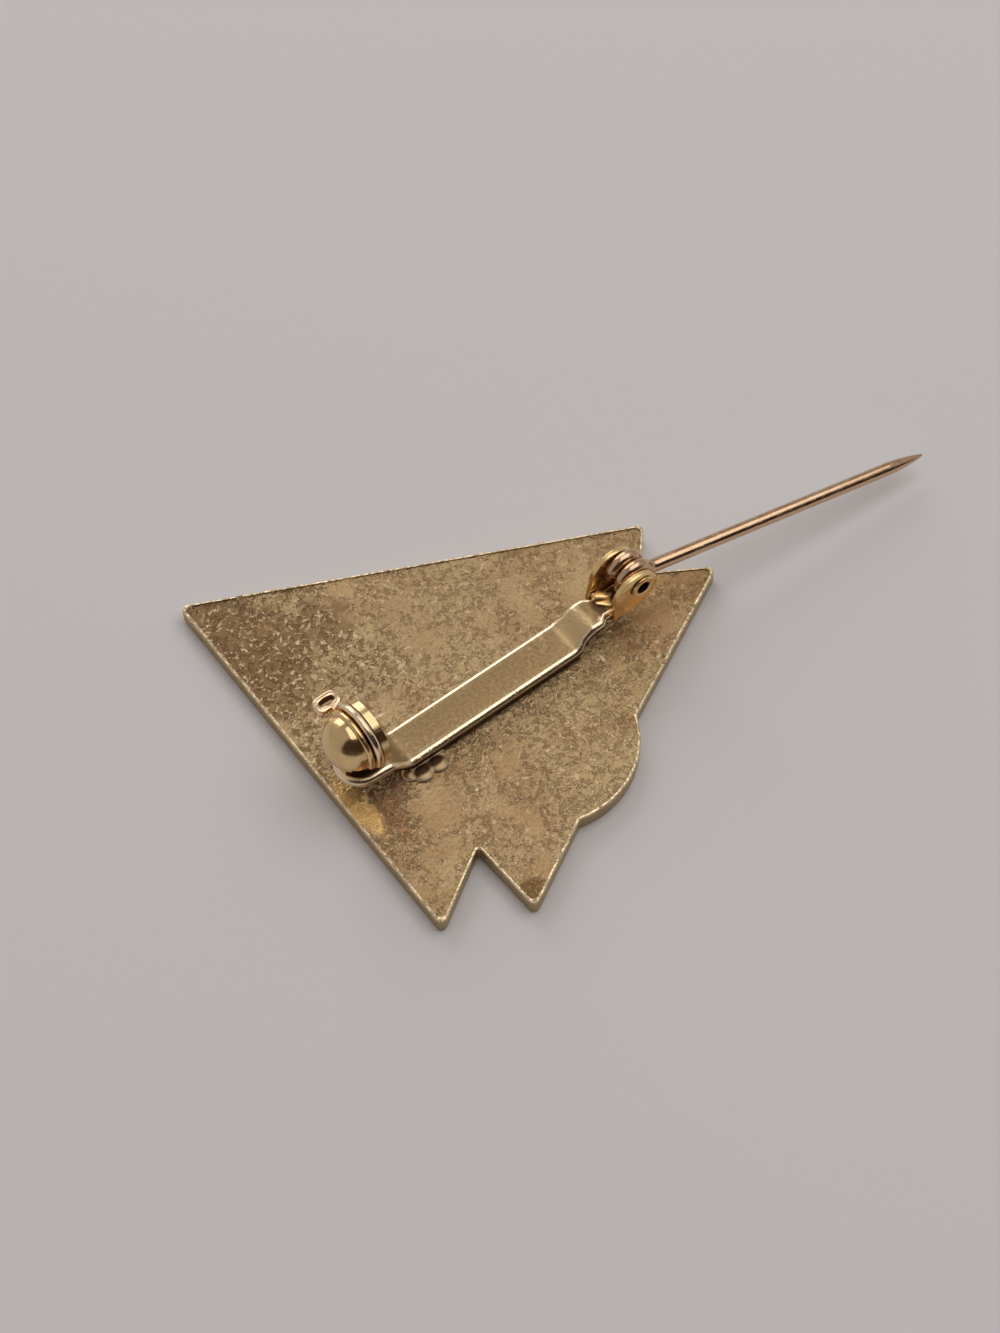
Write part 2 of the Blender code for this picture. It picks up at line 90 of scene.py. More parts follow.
def smooth_step(tree, value, low, high, to_low=0.0, to_high=1.0):
    made = node(
        tree,
        "ShaderNodeMapRange",
        {"Value": value, "From Min": low, "From Max": high, "To Min": to_low, "To Max": to_high},
        interpolation_type="SMOOTHSTEP",
    )
    return made.outputs["Result"]


def math_of(tree, operation, first, second=0.0):
    return node(tree, "ShaderNodeMath", {0: first, 1: second}, operation=operation).outputs[0]


def vector_math(tree, operation, first, second=(0.0, 0.0, 0.0), result="Vector"):
    return node(tree, "ShaderNodeVectorMath", {0: first, 1: second}, operation=operation).outputs[result]


def place_camera():
    camera = bpy.data.objects.new("photo_camera", bpy.data.cameras.new("photo_camera"))
    bpy.context.scene.collection.objects.link(camera)
    camera.data.sensor_fit = "HORIZONTAL"
    camera.data.sensor_width = SENSOR
    camera.data.lens = LENS
    camera.data.clip_start = MM
    turn = Matrix((LOOK_RIGHT, LOOK_UP, LOOK_BACK)).transposed().to_4x4()
    camera.matrix_world = Matrix.Translation(EYE) @ turn
    bpy.context.scene.camera = camera


def light_the_room():
    """A world of one even pale tone, with the dark screen standing in it as a soft-edged disc."""
    world = bpy.data.worlds.new("room")
    bpy.context.scene.world = world
    world.use_nodes = True
    tree = world.node_tree
    ways = node(tree, "ShaderNodeTexCoord").outputs["Generated"]
    along = vector_math(tree, "DOT_PRODUCT", ways, SCREEN_WAY.normalized(), "Value")
    edge = math.cos(math.radians(SCREEN_REACH + SCREEN_SOFTNESS))
    core = math.cos(math.radians(SCREEN_REACH - SCREEN_SOFTNESS))
    colour = mix_colours(tree, smooth_step(tree, along, edge, core), ROOM_COLOUR, SCREEN_COLOUR)
    tree.links.new(colour, tree.nodes["Background"].inputs["Color"])
    bpy.context.scene.view_settings.view_transform = "Standard"


def hang_softbox(name, way, side, power):
    lamp = bpy.data.objects.new(name, bpy.data.lights.new(name, "AREA"))
    bpy.context.scene.collection.objects.link(lamp)
    lamp.data.size = side
    lamp.data.energy = power
    lamp.location = way.normalized() * SOFTBOX_DISTANCE
    lamp.rotation_mode = "QUATERNION"
    lamp.rotation_quaternion = way.to_track_quat("Z", "Y")


def lay_floor():
    bpy.ops.object.select_all(action="DESELECT")
    bpy.ops.mesh.primitive_plane_add(size=FLOOR_SIZE)
    floor = bpy.context.active_object
    floor.name = "floor"
    material = bpy.data.materials.new("pale_floor")
    material.use_nodes = True
    shader = material.node_tree.nodes["Principled BSDF"]
    shader.inputs["Base Color"].default_value = FLOOR_COLOUR
    shader.inputs["Roughness"].default_value = FLOOR_ROUGHNESS
    floor.data.materials.append(material)


place_camera()
light_the_room()
for softbox in SOFTBOXES:
    hang_softbox(*softbox)
lay_floor()

# Back plate: a brass shape stamped and cast with a rough skin, five points, two V notches, one round bulge.
# Its back is aged brown and mottled, its rims are worn and painted bright as highlights, and heat from
# soldering left stains on it; shade and reflections of the bar, hinge and catch are painted on it too.
# The front is recessed inside a raised rim for the enamel.
PLATE_LENGTH = 29.9 * MM
PLATE_WIDTH = 31.25 * MM
PLATE_THICKNESS = 1.2 * MM
BACK_ROUNDING = 0.12 * MM
FRONT_ROUNDING = 0.1 * MM
LIP_WIDTH = 0.17 * MM
LIP_HEIGHT = 0.09 * MM
BACK_LEVEL = PLATE_THICKNESS - LIP_HEIGHT
RAGGEDNESS = 0.1 * MM
TIP_RADIUS = 0.42 * MM
NOTCH_RADIUS = 0.2 * MM
BULGE_HEIGHT = 1.55 * MM
BULGE_STEPS = 24
RIM_WIDTH = 0.8 * MM
RECESS_DEPTH = 0.48 * MM
SKIN_PITCH = 0.3 * MM
SKIN_CUTS = 2
SKIN_RELIEF = 0.022 * MM
SKIN_LUMP = 0.45 * MM
SKIN_FINENESS = 2.5
SKIN_COARSE_SHARE = 0.6
RAGGED_LUMP = 0.7 * MM
CORNER_TURN = 60.0
CORNER_SEGMENTS = 6
BALL_CUTS = 3
OVERSHOOT = 0.2 * MM
SAME_PLACE = 0.001 * MM
SAME_LEVEL = 0.02 * MM
MERGE_REACH = 0.0005 * MM
PLATE_CORNERS = (
    # kind, share of the length along the bar, share of the width across it
    ("tip", -0.378, 0.574),
    ("tip", -0.399, -0.363),
    ("notch", -0.229, -0.265),
    ("tip", -0.224, -0.441),
    ("bulge start", -0.023, -0.341),
    ("bulge end", 0.231, -0.225),
    ("tip", 0.621, -0.045),
    ("notch", 0.475, 0.041),
    ("tip", 0.564, 0.134),
)
EDGE_NICKS = (
    # small dents in the back rim: along the bar, across it, radius, all in mm
    (-7.73, 16.12, 0.30),
    (-2.59, 13.35, 0.22),
    (-1.52, 12.78, 0.34),
    (1.30, 11.30, 0.36),
    (8.60, 7.75, 0.24),
    (13.90, 5.95, 0.42),
    (-11.70, 9.20, 0.22),
    (10.96, -5.05, 0.26),
)
NICK_RISE = 0.7
NICK_STRETCH = (1.5, 1.5, 1.0)
PIT_PLACE = Vector((1.30, -5.49, 1.2)) * MM
PIT_RADIUS = 0.16 * MM


def pick(piece):
    """Select one object alone and make it the active one."""
    bpy.ops.object.select_all(action="DESELECT")
    piece.select_set(True)
    bpy.context.view_layer.objects.active = piece


def start(add, name, **settings):
    """Deselect everything, add one primitive and name it."""
    bpy.ops.object.select_all(action="DESELECT")
    add(**settings)
    piece = bpy.context.active_object
    piece.name = name
    return piece


def choose(piece, kind, test):
    """In edit mode, select only the vertices, edges or faces that pass a test."""
    bpy.ops.mesh.select_mode(type=kind)
    bpy.ops.mesh.select_all(action="DESELECT")
    shape = bmesh.from_edit_mesh(piece.data)
    for item in {"VERT": shape.verts, "EDGE": shape.edges, "FACE": shape.faces}[kind]:
        if test(item):
            item.select_set(True)
    shape.select_flush_mode()
    bmesh.update_edit_mesh(piece.data)


def edit(piece):
    bpy.context.view_layer.objects.active = piece
    bpy.ops.object.mode_set(mode="EDIT")


def leave():
    bpy.ops.object.mode_set(mode="OBJECT")


def draw_chain(name, points):
    """Draw a line by extruding one vertex from point to point, and stay in edit mode."""
    piece = start(bpy.ops.mesh.primitive_plane_add, name, size=MM, location=points[0])
    edit(piece)
    bpy.ops.mesh.select_mode(type="VERT")
    bpy.ops.mesh.select_all(action="SELECT")
    bpy.ops.mesh.merge(type="CENTER")
    for here, there in zip(points, points[1:]):
        bpy.ops.mesh.extrude_vertices_move(TRANSFORM_OT_translate={"value": there - here})
    bpy.ops.mesh.select_all(action="SELECT")
    return piece


def trace(name, points):
    """Draw a flat outline and fill it."""
    piece = draw_chain(name, points)
    bpy.ops.mesh.edge_face_add()
    leave()
    settle(piece)
    return piece


def settle(piece):
    """Put the object's place, turn and scale into its mesh."""
    pick(piece)
    bpy.ops.object.transform_apply(location=True, rotation=True, scale=True)


def thicken(piece, way):
    """Extrude the whole flat face along one way and close it."""
    edit(piece)
    bpy.ops.mesh.select_all(action="SELECT")
    bpy.ops.mesh.extrude_region_move(TRANSFORM_OT_translate={"value": way})
    bpy.ops.mesh.select_all(action="SELECT")
    bpy.ops.mesh.normals_make_consistent(inside=False)
    leave()


def round_off(piece, test, width, segments):
    """Bevel the edges that pass a test."""
    edit(piece)
    choose(piece, "EDGE", test)
    bpy.ops.mesh.bevel(offset=width, segments=segments, profile=0.5, clamp_overlap=True)
    leave()


def modify(piece, kind, **settings):
    """Add one modifier, set it and apply it."""
    pick(piece)
    modifier = piece.modifiers.new(kind.title(), kind)
    for name, value in settings.items():
        setattr(modifier, name, value)
    bpy.ops.object.modifier_apply(modifier=modifier.name)


def combine(piece, other, operation="DIFFERENCE"):
    """Cut with another solid or join it on. The other solid is then removed."""
    modify(piece, "BOOLEAN", object=other, operation=operation, solver="EXACT")
    bpy.data.objects.remove(other, do_unlink=True)
    return piece


def clean_up():
    """Merge the doubled points, turn the faces outward and leave edit mode."""
    bpy.ops.mesh.select_all(action="SELECT")
    bpy.ops.mesh.remove_doubles(threshold=MERGE_REACH)
    bpy.ops.mesh.normals_make_consistent(inside=False)
    leave()


def finish_piece(piece, body, material, smooth=38.0, stands_for=None):
    """Clean the mesh, shade it, give it its material and hang it on its body."""
    settle(piece)
    edit(piece)
    clean_up()
    bpy.ops.object.shade_smooth_by_angle(angle=math.radians(smooth))
    piece.data.materials.clear()
    piece.data.materials.append(material)
    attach(piece, body)
    if stands_for:
        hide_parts(stands_for)


def bulge_arc(first, last):
    """Points of the round bulge between its two ends, proud of the straight line that joins them."""
    chord = last - first
    radius = (chord.length_squared / 4 + BULGE_HEIGHT ** 2) / (2 * BULGE_HEIGHT)
    side = Vector((chord.y, -chord.x, 0)).normalized()
    centre = (first + last) / 2 + side * (BULGE_HEIGHT - radius)
    sweep = 2 * math.asin(chord.length / (2 * radius))
    turns = [sweep * step / BULGE_STEPS for step in range(BULGE_STEPS + 1)]
    return [centre + Matrix.Rotation(turn, 3, "Z") @ (first - centre) for turn in turns]


def plate_face(name, height, inset):
    """The plate's flat outline at one height, traced, drawn in, and rounded at its points and notches."""
    rows = [(kind, Vector((u * PLATE_LENGTH, v * PLATE_WIDTH, height))) for kind, u, v in PLATE_CORNERS]
    points = []
    for index, (kind, place) in enumerate(rows):
        if kind == "bulge start":
            points.extend(bulge_arc(place, rows[index + 1][1]))
        elif kind != "bulge end":
            points.append(place)
    piece = trace(name, points)
    edit(piece)
    if inset:
        bpy.ops.mesh.select_mode(type="FACE")
        bpy.ops.mesh.select_all(action="SELECT")
        bpy.ops.mesh.inset(thickness=inset, use_boundary=True)
        bpy.ops.mesh.select_all(action="INVERT")
        bpy.ops.mesh.delete(type="FACE")
    for place, reach in corner_reaches(piece, inset):
        choose(piece, "VERT", lambda vert: (vert.co - place).length < SAME_PLACE)
        bpy.ops.mesh.bevel(offset=reach, segments=CORNER_SEGMENTS, affect="VERTICES")
    leave()
    return piece


def corner_reaches(piece, inset):
    """Where each point and notch is, and how far along its sides its rounding reaches."""
    shape = bmesh.from_edit_mesh(piece.data)
    shape.faces.ensure_lookup_table()
    corners = [loop.vert.co.copy() for loop in shape.faces[0].loops]
    sign = math.copysign(1.0, shape.faces[0].normal.z)
    found = []
    for index, here in enumerate(corners):
        before = here - corners[index - 1]
        after = corners[(index + 1) % len(corners)] - here
        turn = before.angle(after)
        if turn < math.radians(CORNER_TURN):
            continue
        notch = before.cross(after).z * sign < 0
        radius = NOTCH_RADIUS + inset if notch else TIP_RADIUS
        found.append((here, radius * math.tan(turn / 2)))
    return found


def ball(name, place, radius, stretch=(1.0, 1.0, 1.0)):
    add = bpy.ops.mesh.primitive_ico_sphere_add
    piece = start(add, name, subdivisions=BALL_CUTS, radius=radius, location=place, scale=stretch)
    settle(piece)
    return piece


def grid_faces(piece, low, high, pitch):
    """Score the whole piece both ways, so that a fine relief can be raised on it."""
    edit(piece)
    for axis, normal in enumerate((Vector((1.0, 0.0, 0.0)), Vector((0.0, 1.0, 0.0)))):
        for step in range(1, int((high[axis] - low[axis]) / pitch) + 1):
            bpy.ops.mesh.select_all(action="SELECT")
            bpy.ops.mesh.bisect(plane_co=normal * (low[axis] + step * pitch), plane_no=normal)
    leave()


def disturb(piece, test, way, layers):
    """Push the chosen faces in and out along one way by layers of noise, each with a size and a strength."""
    edit(piece)
    choose(piece, "FACE", test)
    leave()
    chosen = [vert.index for vert in piece.data.vertices if vert.select]
    piece.vertex_groups.new(name="disturbed").add(chosen, 1.0, "REPLACE")
    for size, strength in layers:
        noise = bpy.data.textures.new("unevenness", "CLOUDS")
        noise.noise_scale = size
        noise.noise_depth = 2
        modify(
            piece,
            "DISPLACE",
            texture=noise,
            texture_coords="LOCAL",
            direction=way,
            strength=strength,
            mid_level=0.5,
            vertex_group="disturbed",
        )
    piece.vertex_groups.clear()


def raise_skin(piece, test, relief, size):
    """Give the chosen faces the low, lumpy relief of a cast skin, with a coarse and a fine noise."""
    edit(piece)
    choose(piece, "FACE", test)
    bpy.ops.mesh.subdivide(number_cuts=SKIN_CUTS)
    leave()
    coarse = (size, SKIN_COARSE_SHARE * relief)
    fine = (size / SKIN_FINENESS, (1 - SKIN_COARSE_SHARE) * relief)
    disturb(piece, test, "Z", (coarse, fine))


def faces_up_at(height):
    return lambda face: face.normal.z > 0.99 and abs(face.calc_center_median().z - height) < SAME_LEVEL


def rim_at(height):
    """Edges of the outline at one height, where an upright wall meets a flat face."""
    return lambda edge: all(abs(vert.co.z - height) < SAME_PLACE for vert in edge.verts)


def make_back_plate():
    plate = plate_face("back_plate", 0.0, 0.0)
    thicken(plate, (0.0, 0.0, PLATE_THICKNESS))
    round_off(plate, rim_at(PLATE_THICKNESS), BACK_ROUNDING, 4)
    round_off(plate, rim_at(0.0), FRONT_ROUNDING, 2)
    sunk_back = plate_face("sunk_back", BACK_LEVEL, LIP_WIDTH)
    thicken(sunk_back, (0.0, 0.0, LIP_HEIGHT + OVERSHOOT))
    combine(plate, sunk_back)
    low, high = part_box("plate_and_bar")
    grid_faces(plate, low, high, SKIN_PITCH)
    disturb(plate, lambda face: 0.05 < face.normal.z < 0.99, "NORMAL", ((RAGGED_LUMP, RAGGEDNESS),))
    recess = plate_face("recess", -OVERSHOOT, RIM_WIDTH)
    thicken(recess, (0.0, 0.0, OVERSHOOT + RECESS_DEPTH))
    combine(plate, recess)
    for along, across, radius in EDGE_NICKS:
        place = Vector((along * MM, across * MM, PLATE_THICKNESS + NICK_RISE * radius * MM))
        combine(plate, ball("nick", place, radius * MM, NICK_STRETCH))
    combine(plate, ball("pit", PIT_PLACE, PIT_RADIUS))
    raise_skin(plate, faces_up_at(BACK_LEVEL), SKIN_RELIEF, SKIN_LUMP)
    return plate


def new_group(name, vectors, numbers, masks):
    """An empty shader group: vector and number inputs, mask outputs, and its entry and exit nodes."""
    group = bpy.data.node_groups.new(name, "ShaderNodeTree")
    rows = [(label, "INPUT", "NodeSocketVector") for label in vectors]
    rows += [(label, "INPUT", "NodeSocketFloat") for label in numbers]
    rows += [(label, "OUTPUT", "NodeSocketFloat") for label in masks]
    for label, way, kind in rows:
        group.interface.new_socket(label, in_out=way, socket_type=kind)
    return group, node(group, "NodeGroupInput"), node(group, "NodeGroupOutput")


def put_out(group, leave_by, masks):
    """Link the masks to the group's outputs, in the order in which those were named."""
    for socket, mask in zip(leave_by.inputs, masks):
        group.links.new(mask, socket)
    return group


def noise_of(tree, vector, scale, detail, roughness=0.5):
    values = {"Vector": vector, "Scale": scale, "Detail": detail, "Roughness": roughness}
    return node(tree, "ShaderNodeTexNoise", values).outputs["Fac"]


def make_mottle_group():
    """Mottling of a cast, aged skin: pale specks and dark pits in drifts, grain, patches and relief."""
    masks = ("Specks", "Pits", "Grain", "Patches", "Relief")
    group, enter, leave_by = new_group("mottled_skin", ("Place",), ("Cover",), masks)
    place = enter.outputs["Place"]
    wander = node(group, "ShaderNodeTexNoise", {"Vector": place, "Scale": 0.9, "Detail": 2.0})
    pushed = node(
        group,
        "ShaderNodeVectorMath",
        {0: wander.outputs["Color"], 1: (0.6, 0.6, 0.6), 2: place},
        operation="MULTIPLY_ADD",
    ).outputs["Vector"]
    drifts = math_of(group, "ADD", noise_of(group, pushed, 0.42, 4.0, 0.6), enter.outputs["Cover"])
    dense = smooth_step(group, drifts, 0.45, 0.58)
    pale = smooth_step(group, noise_of(group, pushed, 3.0, 3.0, 0.6), 0.51, 0.61)
    dark = smooth_step(group, noise_of(group, pushed, 2.4, 3.0, 0.6), 0.49, 0.40)
    specks = math_of(group, "MULTIPLY", pale, dense)
    pits = math_of(group, "MULTIPLY", dark, dense)
    grain = noise_of(group, place, 4.5, 4.0, 0.6)
    patches = noise_of(group, place, 0.3, 4.0, 0.6)
    relief = math_of(group, "ADD", math_of(group, "SUBTRACT", specks, pits), grain)
    return put_out(group, leave_by, (specks, pits, grain, patches, relief))


def make_rim_group():
    """Rims worn bright and painted bright as highlights, broken up by noise, and the walls between faces
    square to an axis.
    """
    group, enter, leave_by = new_group("worn_and_highlit_rims", ("Place", "Axis"), ("Broken",), ("Rim", "Wall"))
    facing = node(group, "ShaderNodeTexCoord").outputs["Normal"]
    upward = vector_math(group, "DOT_PRODUCT", facing, enter.outputs["Axis"], "Value")
    upward = math_of(group, "ABSOLUTE", upward)
    # painted highlight and wear: faces tilted between about 21 and 41 degrees from the axis become the bright
    # rims
    tilted = smooth_step(group, upward, 0.93, 0.75)
    wall = smooth_step(group, upward, 0.35, 0.1)
    worn = smooth_step(group, noise_of(group, enter.outputs["Place"], 2.6, 4.0), 0.3, 0.55)
    kept = math_of(group, "MULTIPLY", math_of(group, "SUBTRACT", 1.0, worn), enter.outputs["Broken"])
    rim = math_of(group, "MULTIPLY", tilted, math_of(group, "SUBTRACT", 1.0, kept))
    rim = math_of(group, "MULTIPLY", rim, math_of(group, "SUBTRACT", 1.0, wall))
    return put_out(group, leave_by, (rim, wall))


def make_stain_group():
    """One soft-edged oval about a centre, its edge wandering with noise: a mask for stains and for painted
    light or shade.
    """
    vectors = ("Place", "Centre", "Reach")
    group, enter, leave_by = new_group("soft_oval", vectors, ("Edge", "Ragged"), ("Within",))
    place = enter.outputs["Place"]
    edge = enter.outputs["Edge"]
    offset = vector_math(group, "SUBTRACT", place, enter.outputs["Centre"])
    shares = vector_math(group, "DIVIDE", offset, enter.outputs["Reach"])
    away = vector_math(group, "LENGTH", shares, result="Value")
    wander = math_of(group, "SUBTRACT", noise_of(group, place, 0.9, 4.0, 0.6), 0.5)
    reached = math_of(group, "ADD", away, math_of(group, "MULTIPLY", wander, enter.outputs["Ragged"]))
    inner = math_of(group, "SUBTRACT", 1.0, edge)
    outer = math_of(group, "ADD", 1.0, edge)
    return put_out(group, leave_by, (smooth_step(group, reached, inner, outer, 1.0, 0.0),))


mottled_skin = make_mottle_group()
worn_and_highlit_rims = make_rim_group()
soft_oval = make_stain_group()


def new_material(name):
    """A new material, its tree, its shader and the place on the object in mm."""
    material = bpy.data.materials.new(name)
    material.use_nodes = True
    tree = material.node_tree
    spot = node(tree, "ShaderNodeTexCoord").outputs["Object"]
    place = node(tree, "ShaderNodeMapping", {"Vector": spot, "Scale": (1 / MM, 1 / MM, 1 / MM)})
    return material, tree, tree.nodes["Principled BSDF"], place.outputs["Vector"]


def metal(name, roughness):
    material, tree, shader, place = new_material(name)
    shader.inputs["Metallic"].default_value = 1.0
    shader.inputs["Roughness"].default_value = roughness
    return material, tree, shader, place


def use_group(tree, group, inputs):
    return node(tree, "ShaderNodeGroup", inputs, node_tree=group)


def part_of(tree, vector, axis):
    return node(tree, "ShaderNodeSeparateXYZ", {"Vector": vector}).outputs[axis]


def mix_numbers(tree, factor, first, second):
    return node(tree, "ShaderNodeMix", {0: factor, 2: first, 3: second}).outputs[0]


def lay_on(tree, shader, colour, height, strength, depth, rough=None):
    """Link a colour, a relief and, where it varies, a roughness to the shader."""
    tree.links.new(colour, shader.inputs["Base Color"])
    bump = node(tree, "ShaderNodeBump", {"Strength": strength, "Distance": depth, "Height": height})
    tree.links.new(bump.outputs["Normal"], shader.inputs["Normal"])
    if rough:
        tree.links.new(rough, shader.inputs["Roughness"])


BACK_OLIVE = (0.46, 0.325, 0.170, 1.0)
BACK_TAN = (0.39, 0.255, 0.128, 1.0)
BACK_BROWN = (0.19, 0.112, 0.050, 1.0)
BACK_PALE = (0.67, 0.50, 0.30, 1.0)
# rim colour: wear and painted highlight
RIM_WEAR_AND_HIGHLIGHT = (1.0, 0.81, 0.55, 1.0)
WALL_BROWN = (0.50, 0.38, 0.20, 1.0)
FRONT_GOLD = (0.83, 0.60, 0.28, 1.0)
ROUGH_CENTRE = (-9.0, 10.5, 1.2)
ROUGH_REACH = (6.5, 9.5, 9.0)
MARK_DEPTH = 9.0
PLATE_MARK_HEIGHT = 1.2
PLATE_STAINS_AND_SHADE = (
    # centre and reach in mm, softness and raggedness of the edge, strength, colour; most rows are stains,
    # some are painted shade
    ((-10.2, 13.2), (3.6, 5.4), 0.3, 1.8, 0.8, (0.18, 0.10, 0.048, 1.0)),
    ((-5.0, 11.0), (2.4, 1.8), 0.25, 1.8, 0.75, (0.20, 0.115, 0.058, 1.0)),
    ((-9.6, 9.0), (2.2, 3.0), 0.3, 1.8, 0.6, (0.22, 0.13, 0.062, 1.0)),
    ((-4.7, 6.4), (2.6, 2.2), 0.5, 1.2, 0.55, (0.42, 0.31, 0.17, 1.0)),
    ((2.0, 7.5), (5.0, 2.0), 0.6, 1.2, 0.35, (0.43, 0.31, 0.17, 1.0)),
    # painted shadow and reflection: the next two reddish-brown patches lie where the catch shades the plate
    ((-9.6, -2.8), (0.7, 2.0), 0.25, 1.5, 0.6, (0.36, 0.17, 0.09, 1.0)),
    ((-8.4, -1.9), (1.5, 0.7), 0.4, 1.2, 0.65, (0.30, 0.145, 0.08, 1.0)),
    # painted shadow of the near hinge ear on the plate
    ((11.2, -2.1), (2.0, 1.5), 0.2, 0.6, 0.4, (0.38, 0.21, 0.11, 1.0)),
    ((10.5, -3.7), (1.5, 0.45), 0.4, 0.7, 0.5, (0.50, 0.30, 0.16, 1.0)),
    ((-6.0, -12.6), (0.8, 0.8), 0.3, 0.9, 0.8, (0.17, 0.09, 0.03, 1.0)),
    # painted shadow: a long faint band along the bar's near side
    ((4.0, -2.7), (9.0, 0.8), 0.5, 0.8, 0.35, (0.25, 0.15, 0.085, 1.0)),
    ((14.8, -0.9), (3.0, 1.8), 0.6, 0.9, 0.5, (0.36, 0.21, 0.085, 1.0)),
)
PLATE_MARKS_AND_LIGHT = (
    # the same columns, for marks laid over the mottling: a yellow patch of painted reflection, then three
    # marks of painted light along a faint curve, a scratch and two dots
    # painted reflection of the gold catch on the plate beside its pad
    ((-10.9, -1.3), (0.75, 2.5), 0.3, 1.2, 0.85, (1.0, 0.64, 0.25, 1.0)),
    # painted light: three pale marks along a faint curve, as a caustic
    ((7.95, -2.32), (0.09, 0.30), 0.6, 1.0, 0.6, (0.90, 0.74, 0.50, 1.0)),
    ((9.74, -3.64), (0.12, 0.10), 0.6, 1.0, 0.6, (0.90, 0.74, 0.50, 1.0)),
    ((10.96, -4.40), (0.20, 0.08), 0.6, 1.0, 0.6, (0.90, 0.74, 0.50, 1.0)),
    ((-6.07, 3.10), (0.42, 0.09), 0.4, 0.5, 0.6, (0.90, 0.72, 0.48, 1.0)),
    ((-7.3, 4.6), (0.12, 0.12), 0.4, 0.4, 0.8, (0.97, 0.84, 0.60, 1.0)),
    ((-4.4, -5.0), (0.11, 0.11), 0.4, 0.4, 0.8, (0.97, 0.84, 0.60, 1.0)),
)


def lay_marks_and_painted_light(tree, place, colour, marks, height):
    """Lay a table of stains, scratches and painted light or shade over a colour, one after another."""
    for (x, y), (along, across), edge, ragged, strength, tint in marks:
        reach = (along, across, MARK_DEPTH)
        values = {"Centre": (x, y, height), "Reach": reach, "Edge": edge, "Ragged": ragged}
        mark = use_group(tree, soft_oval, {"Place": place, **values})
        amount = math_of(tree, "MULTIPLY", mark.outputs["Within"], strength)
        colour = mix_colours(tree, amount, colour, tint)
    return colour


def plate_finish():
    """Aged brown gilt: mottled skin, stains from heat and handling, painted shade and reflections of the
    parts above it, rims and raised border worn and painted bright as highlights, darker walls.
    """
    material, tree, shader, place = metal("aged_mottled_gilt", 0.5)
    skin = use_group(tree, mottled_skin, {"Place": place, "Cover": 0.09})
    rims = use_group(tree, worn_and_highlit_rims, {"Place": place, "Axis": (0.0, 0.0, 1.0), "Broken": 0.4})
    facing = node(tree, "ShaderNodeTexCoord").outputs["Normal"]
    front = smooth_step(tree, part_of(tree, facing, "Z"), -0.4, -0.7)
    oval = {"Place": place, "Centre": ROUGH_CENTRE, "Reach": ROUGH_REACH, "Edge": 0.5, "Ragged": 1.2}
    zone = use_group(tree, soft_oval, oval).outputs["Within"]
    broad = smooth_step(tree, skin.outputs["Patches"], 0.38, 0.62)
    colour = mix_colours(tree, broad, BACK_TAN, BACK_OLIVE)
    colour = lay_marks_and_painted_light(tree, place, colour, PLATE_STAINS_AND_SHADE, PLATE_MARK_HEIGHT)
    height = part_of(tree, place, "Z")
    # painted highlight and wear: the top of the raised border is painted bright, broken by the grain
    lip_wear_and_highlight = smooth_step(tree, height, BACK_LEVEL / MM + 0.03, PLATE_THICKNESS / MM - 0.02)
    lip_wear_and_highlight = math_of(tree, "MULTIPLY", lip_wear_and_highlight, smooth_step(tree, skin.outputs["Grain"], 0.42, 0.56, 0.3, 1.0))
    rim_wear_and_highlight = math_of(tree, "MAXIMUM", rims.outputs["Rim"], lip_wear_and_highlight)
    coarse = smooth_step(tree, zone, 0.0, 1.0, 0.5, 0.8)
    grainy = smooth_step(tree, skin.outputs["Grain"], 0.55, 0.35, 0.0, 0.3)
    for amount, tone in (
        (grainy, BACK_BROWN),
        (math_of(tree, "MULTIPLY", skin.outputs["Pits"], coarse), BACK_BROWN),
        (math_of(tree, "MULTIPLY", skin.outputs["Specks"], coarse), BACK_PALE),
    ):
        colour = mix_colours(tree, amount, colour, tone)
    colour = lay_marks_and_painted_light(tree, place, colour, PLATE_MARKS_AND_LIGHT, PLATE_MARK_HEIGHT)
    # the rims and raised border are painted bright: partly wear, partly painted highlight
    colour = mix_colours(tree, rim_wear_and_highlight, colour, RIM_WEAR_AND_HIGHLIGHT)
    colour = mix_colours(tree, rims.outputs["Wall"], colour, WALL_BROWN)
    colour = mix_colours(tree, front, colour, FRONT_GOLD)
    rough = smooth_step(tree, skin.outputs["Grain"], 0.3, 0.7, 0.5, 0.34)
    rough = mix_numbers(tree, front, rough, 0.22)
    relief = math_of(tree, "MULTIPLY", skin.outputs["Relief"], coarse)
    lay_on(tree, shader, colour, relief, 0.75, 0.08 * MM, rough)
    return material


back_plate = make_back_plate()
finish_piece(back_plate, "badge", plate_finish(), stands_for="plate_and_bar")

# Enamel: the front's glassy fill, run in inside the rim and ground level with it.
# The photograph hides it, so it is one plain dark blue field with the faint waviness of fired glass.
ENAMEL_DEPTH = 0.4 * MM
ENAMEL_GAP = 0.08 * MM
ENAMEL_ROUNDING = 0.05 * MM
ENAMEL_BLUE = (0.010, 0.028, 0.13, 1.0)
ENAMEL_DEEP = (0.005, 0.012, 0.07, 1.0)


def make_enamel():
    field = plate_face("enamel_field", 0.0, RIM_WIDTH + ENAMEL_GAP)
    thicken(field, (0.0, 0.0, ENAMEL_DEPTH))
    round_off(field, rim_at(0.0), ENAMEL_ROUNDING, 3)
    return field


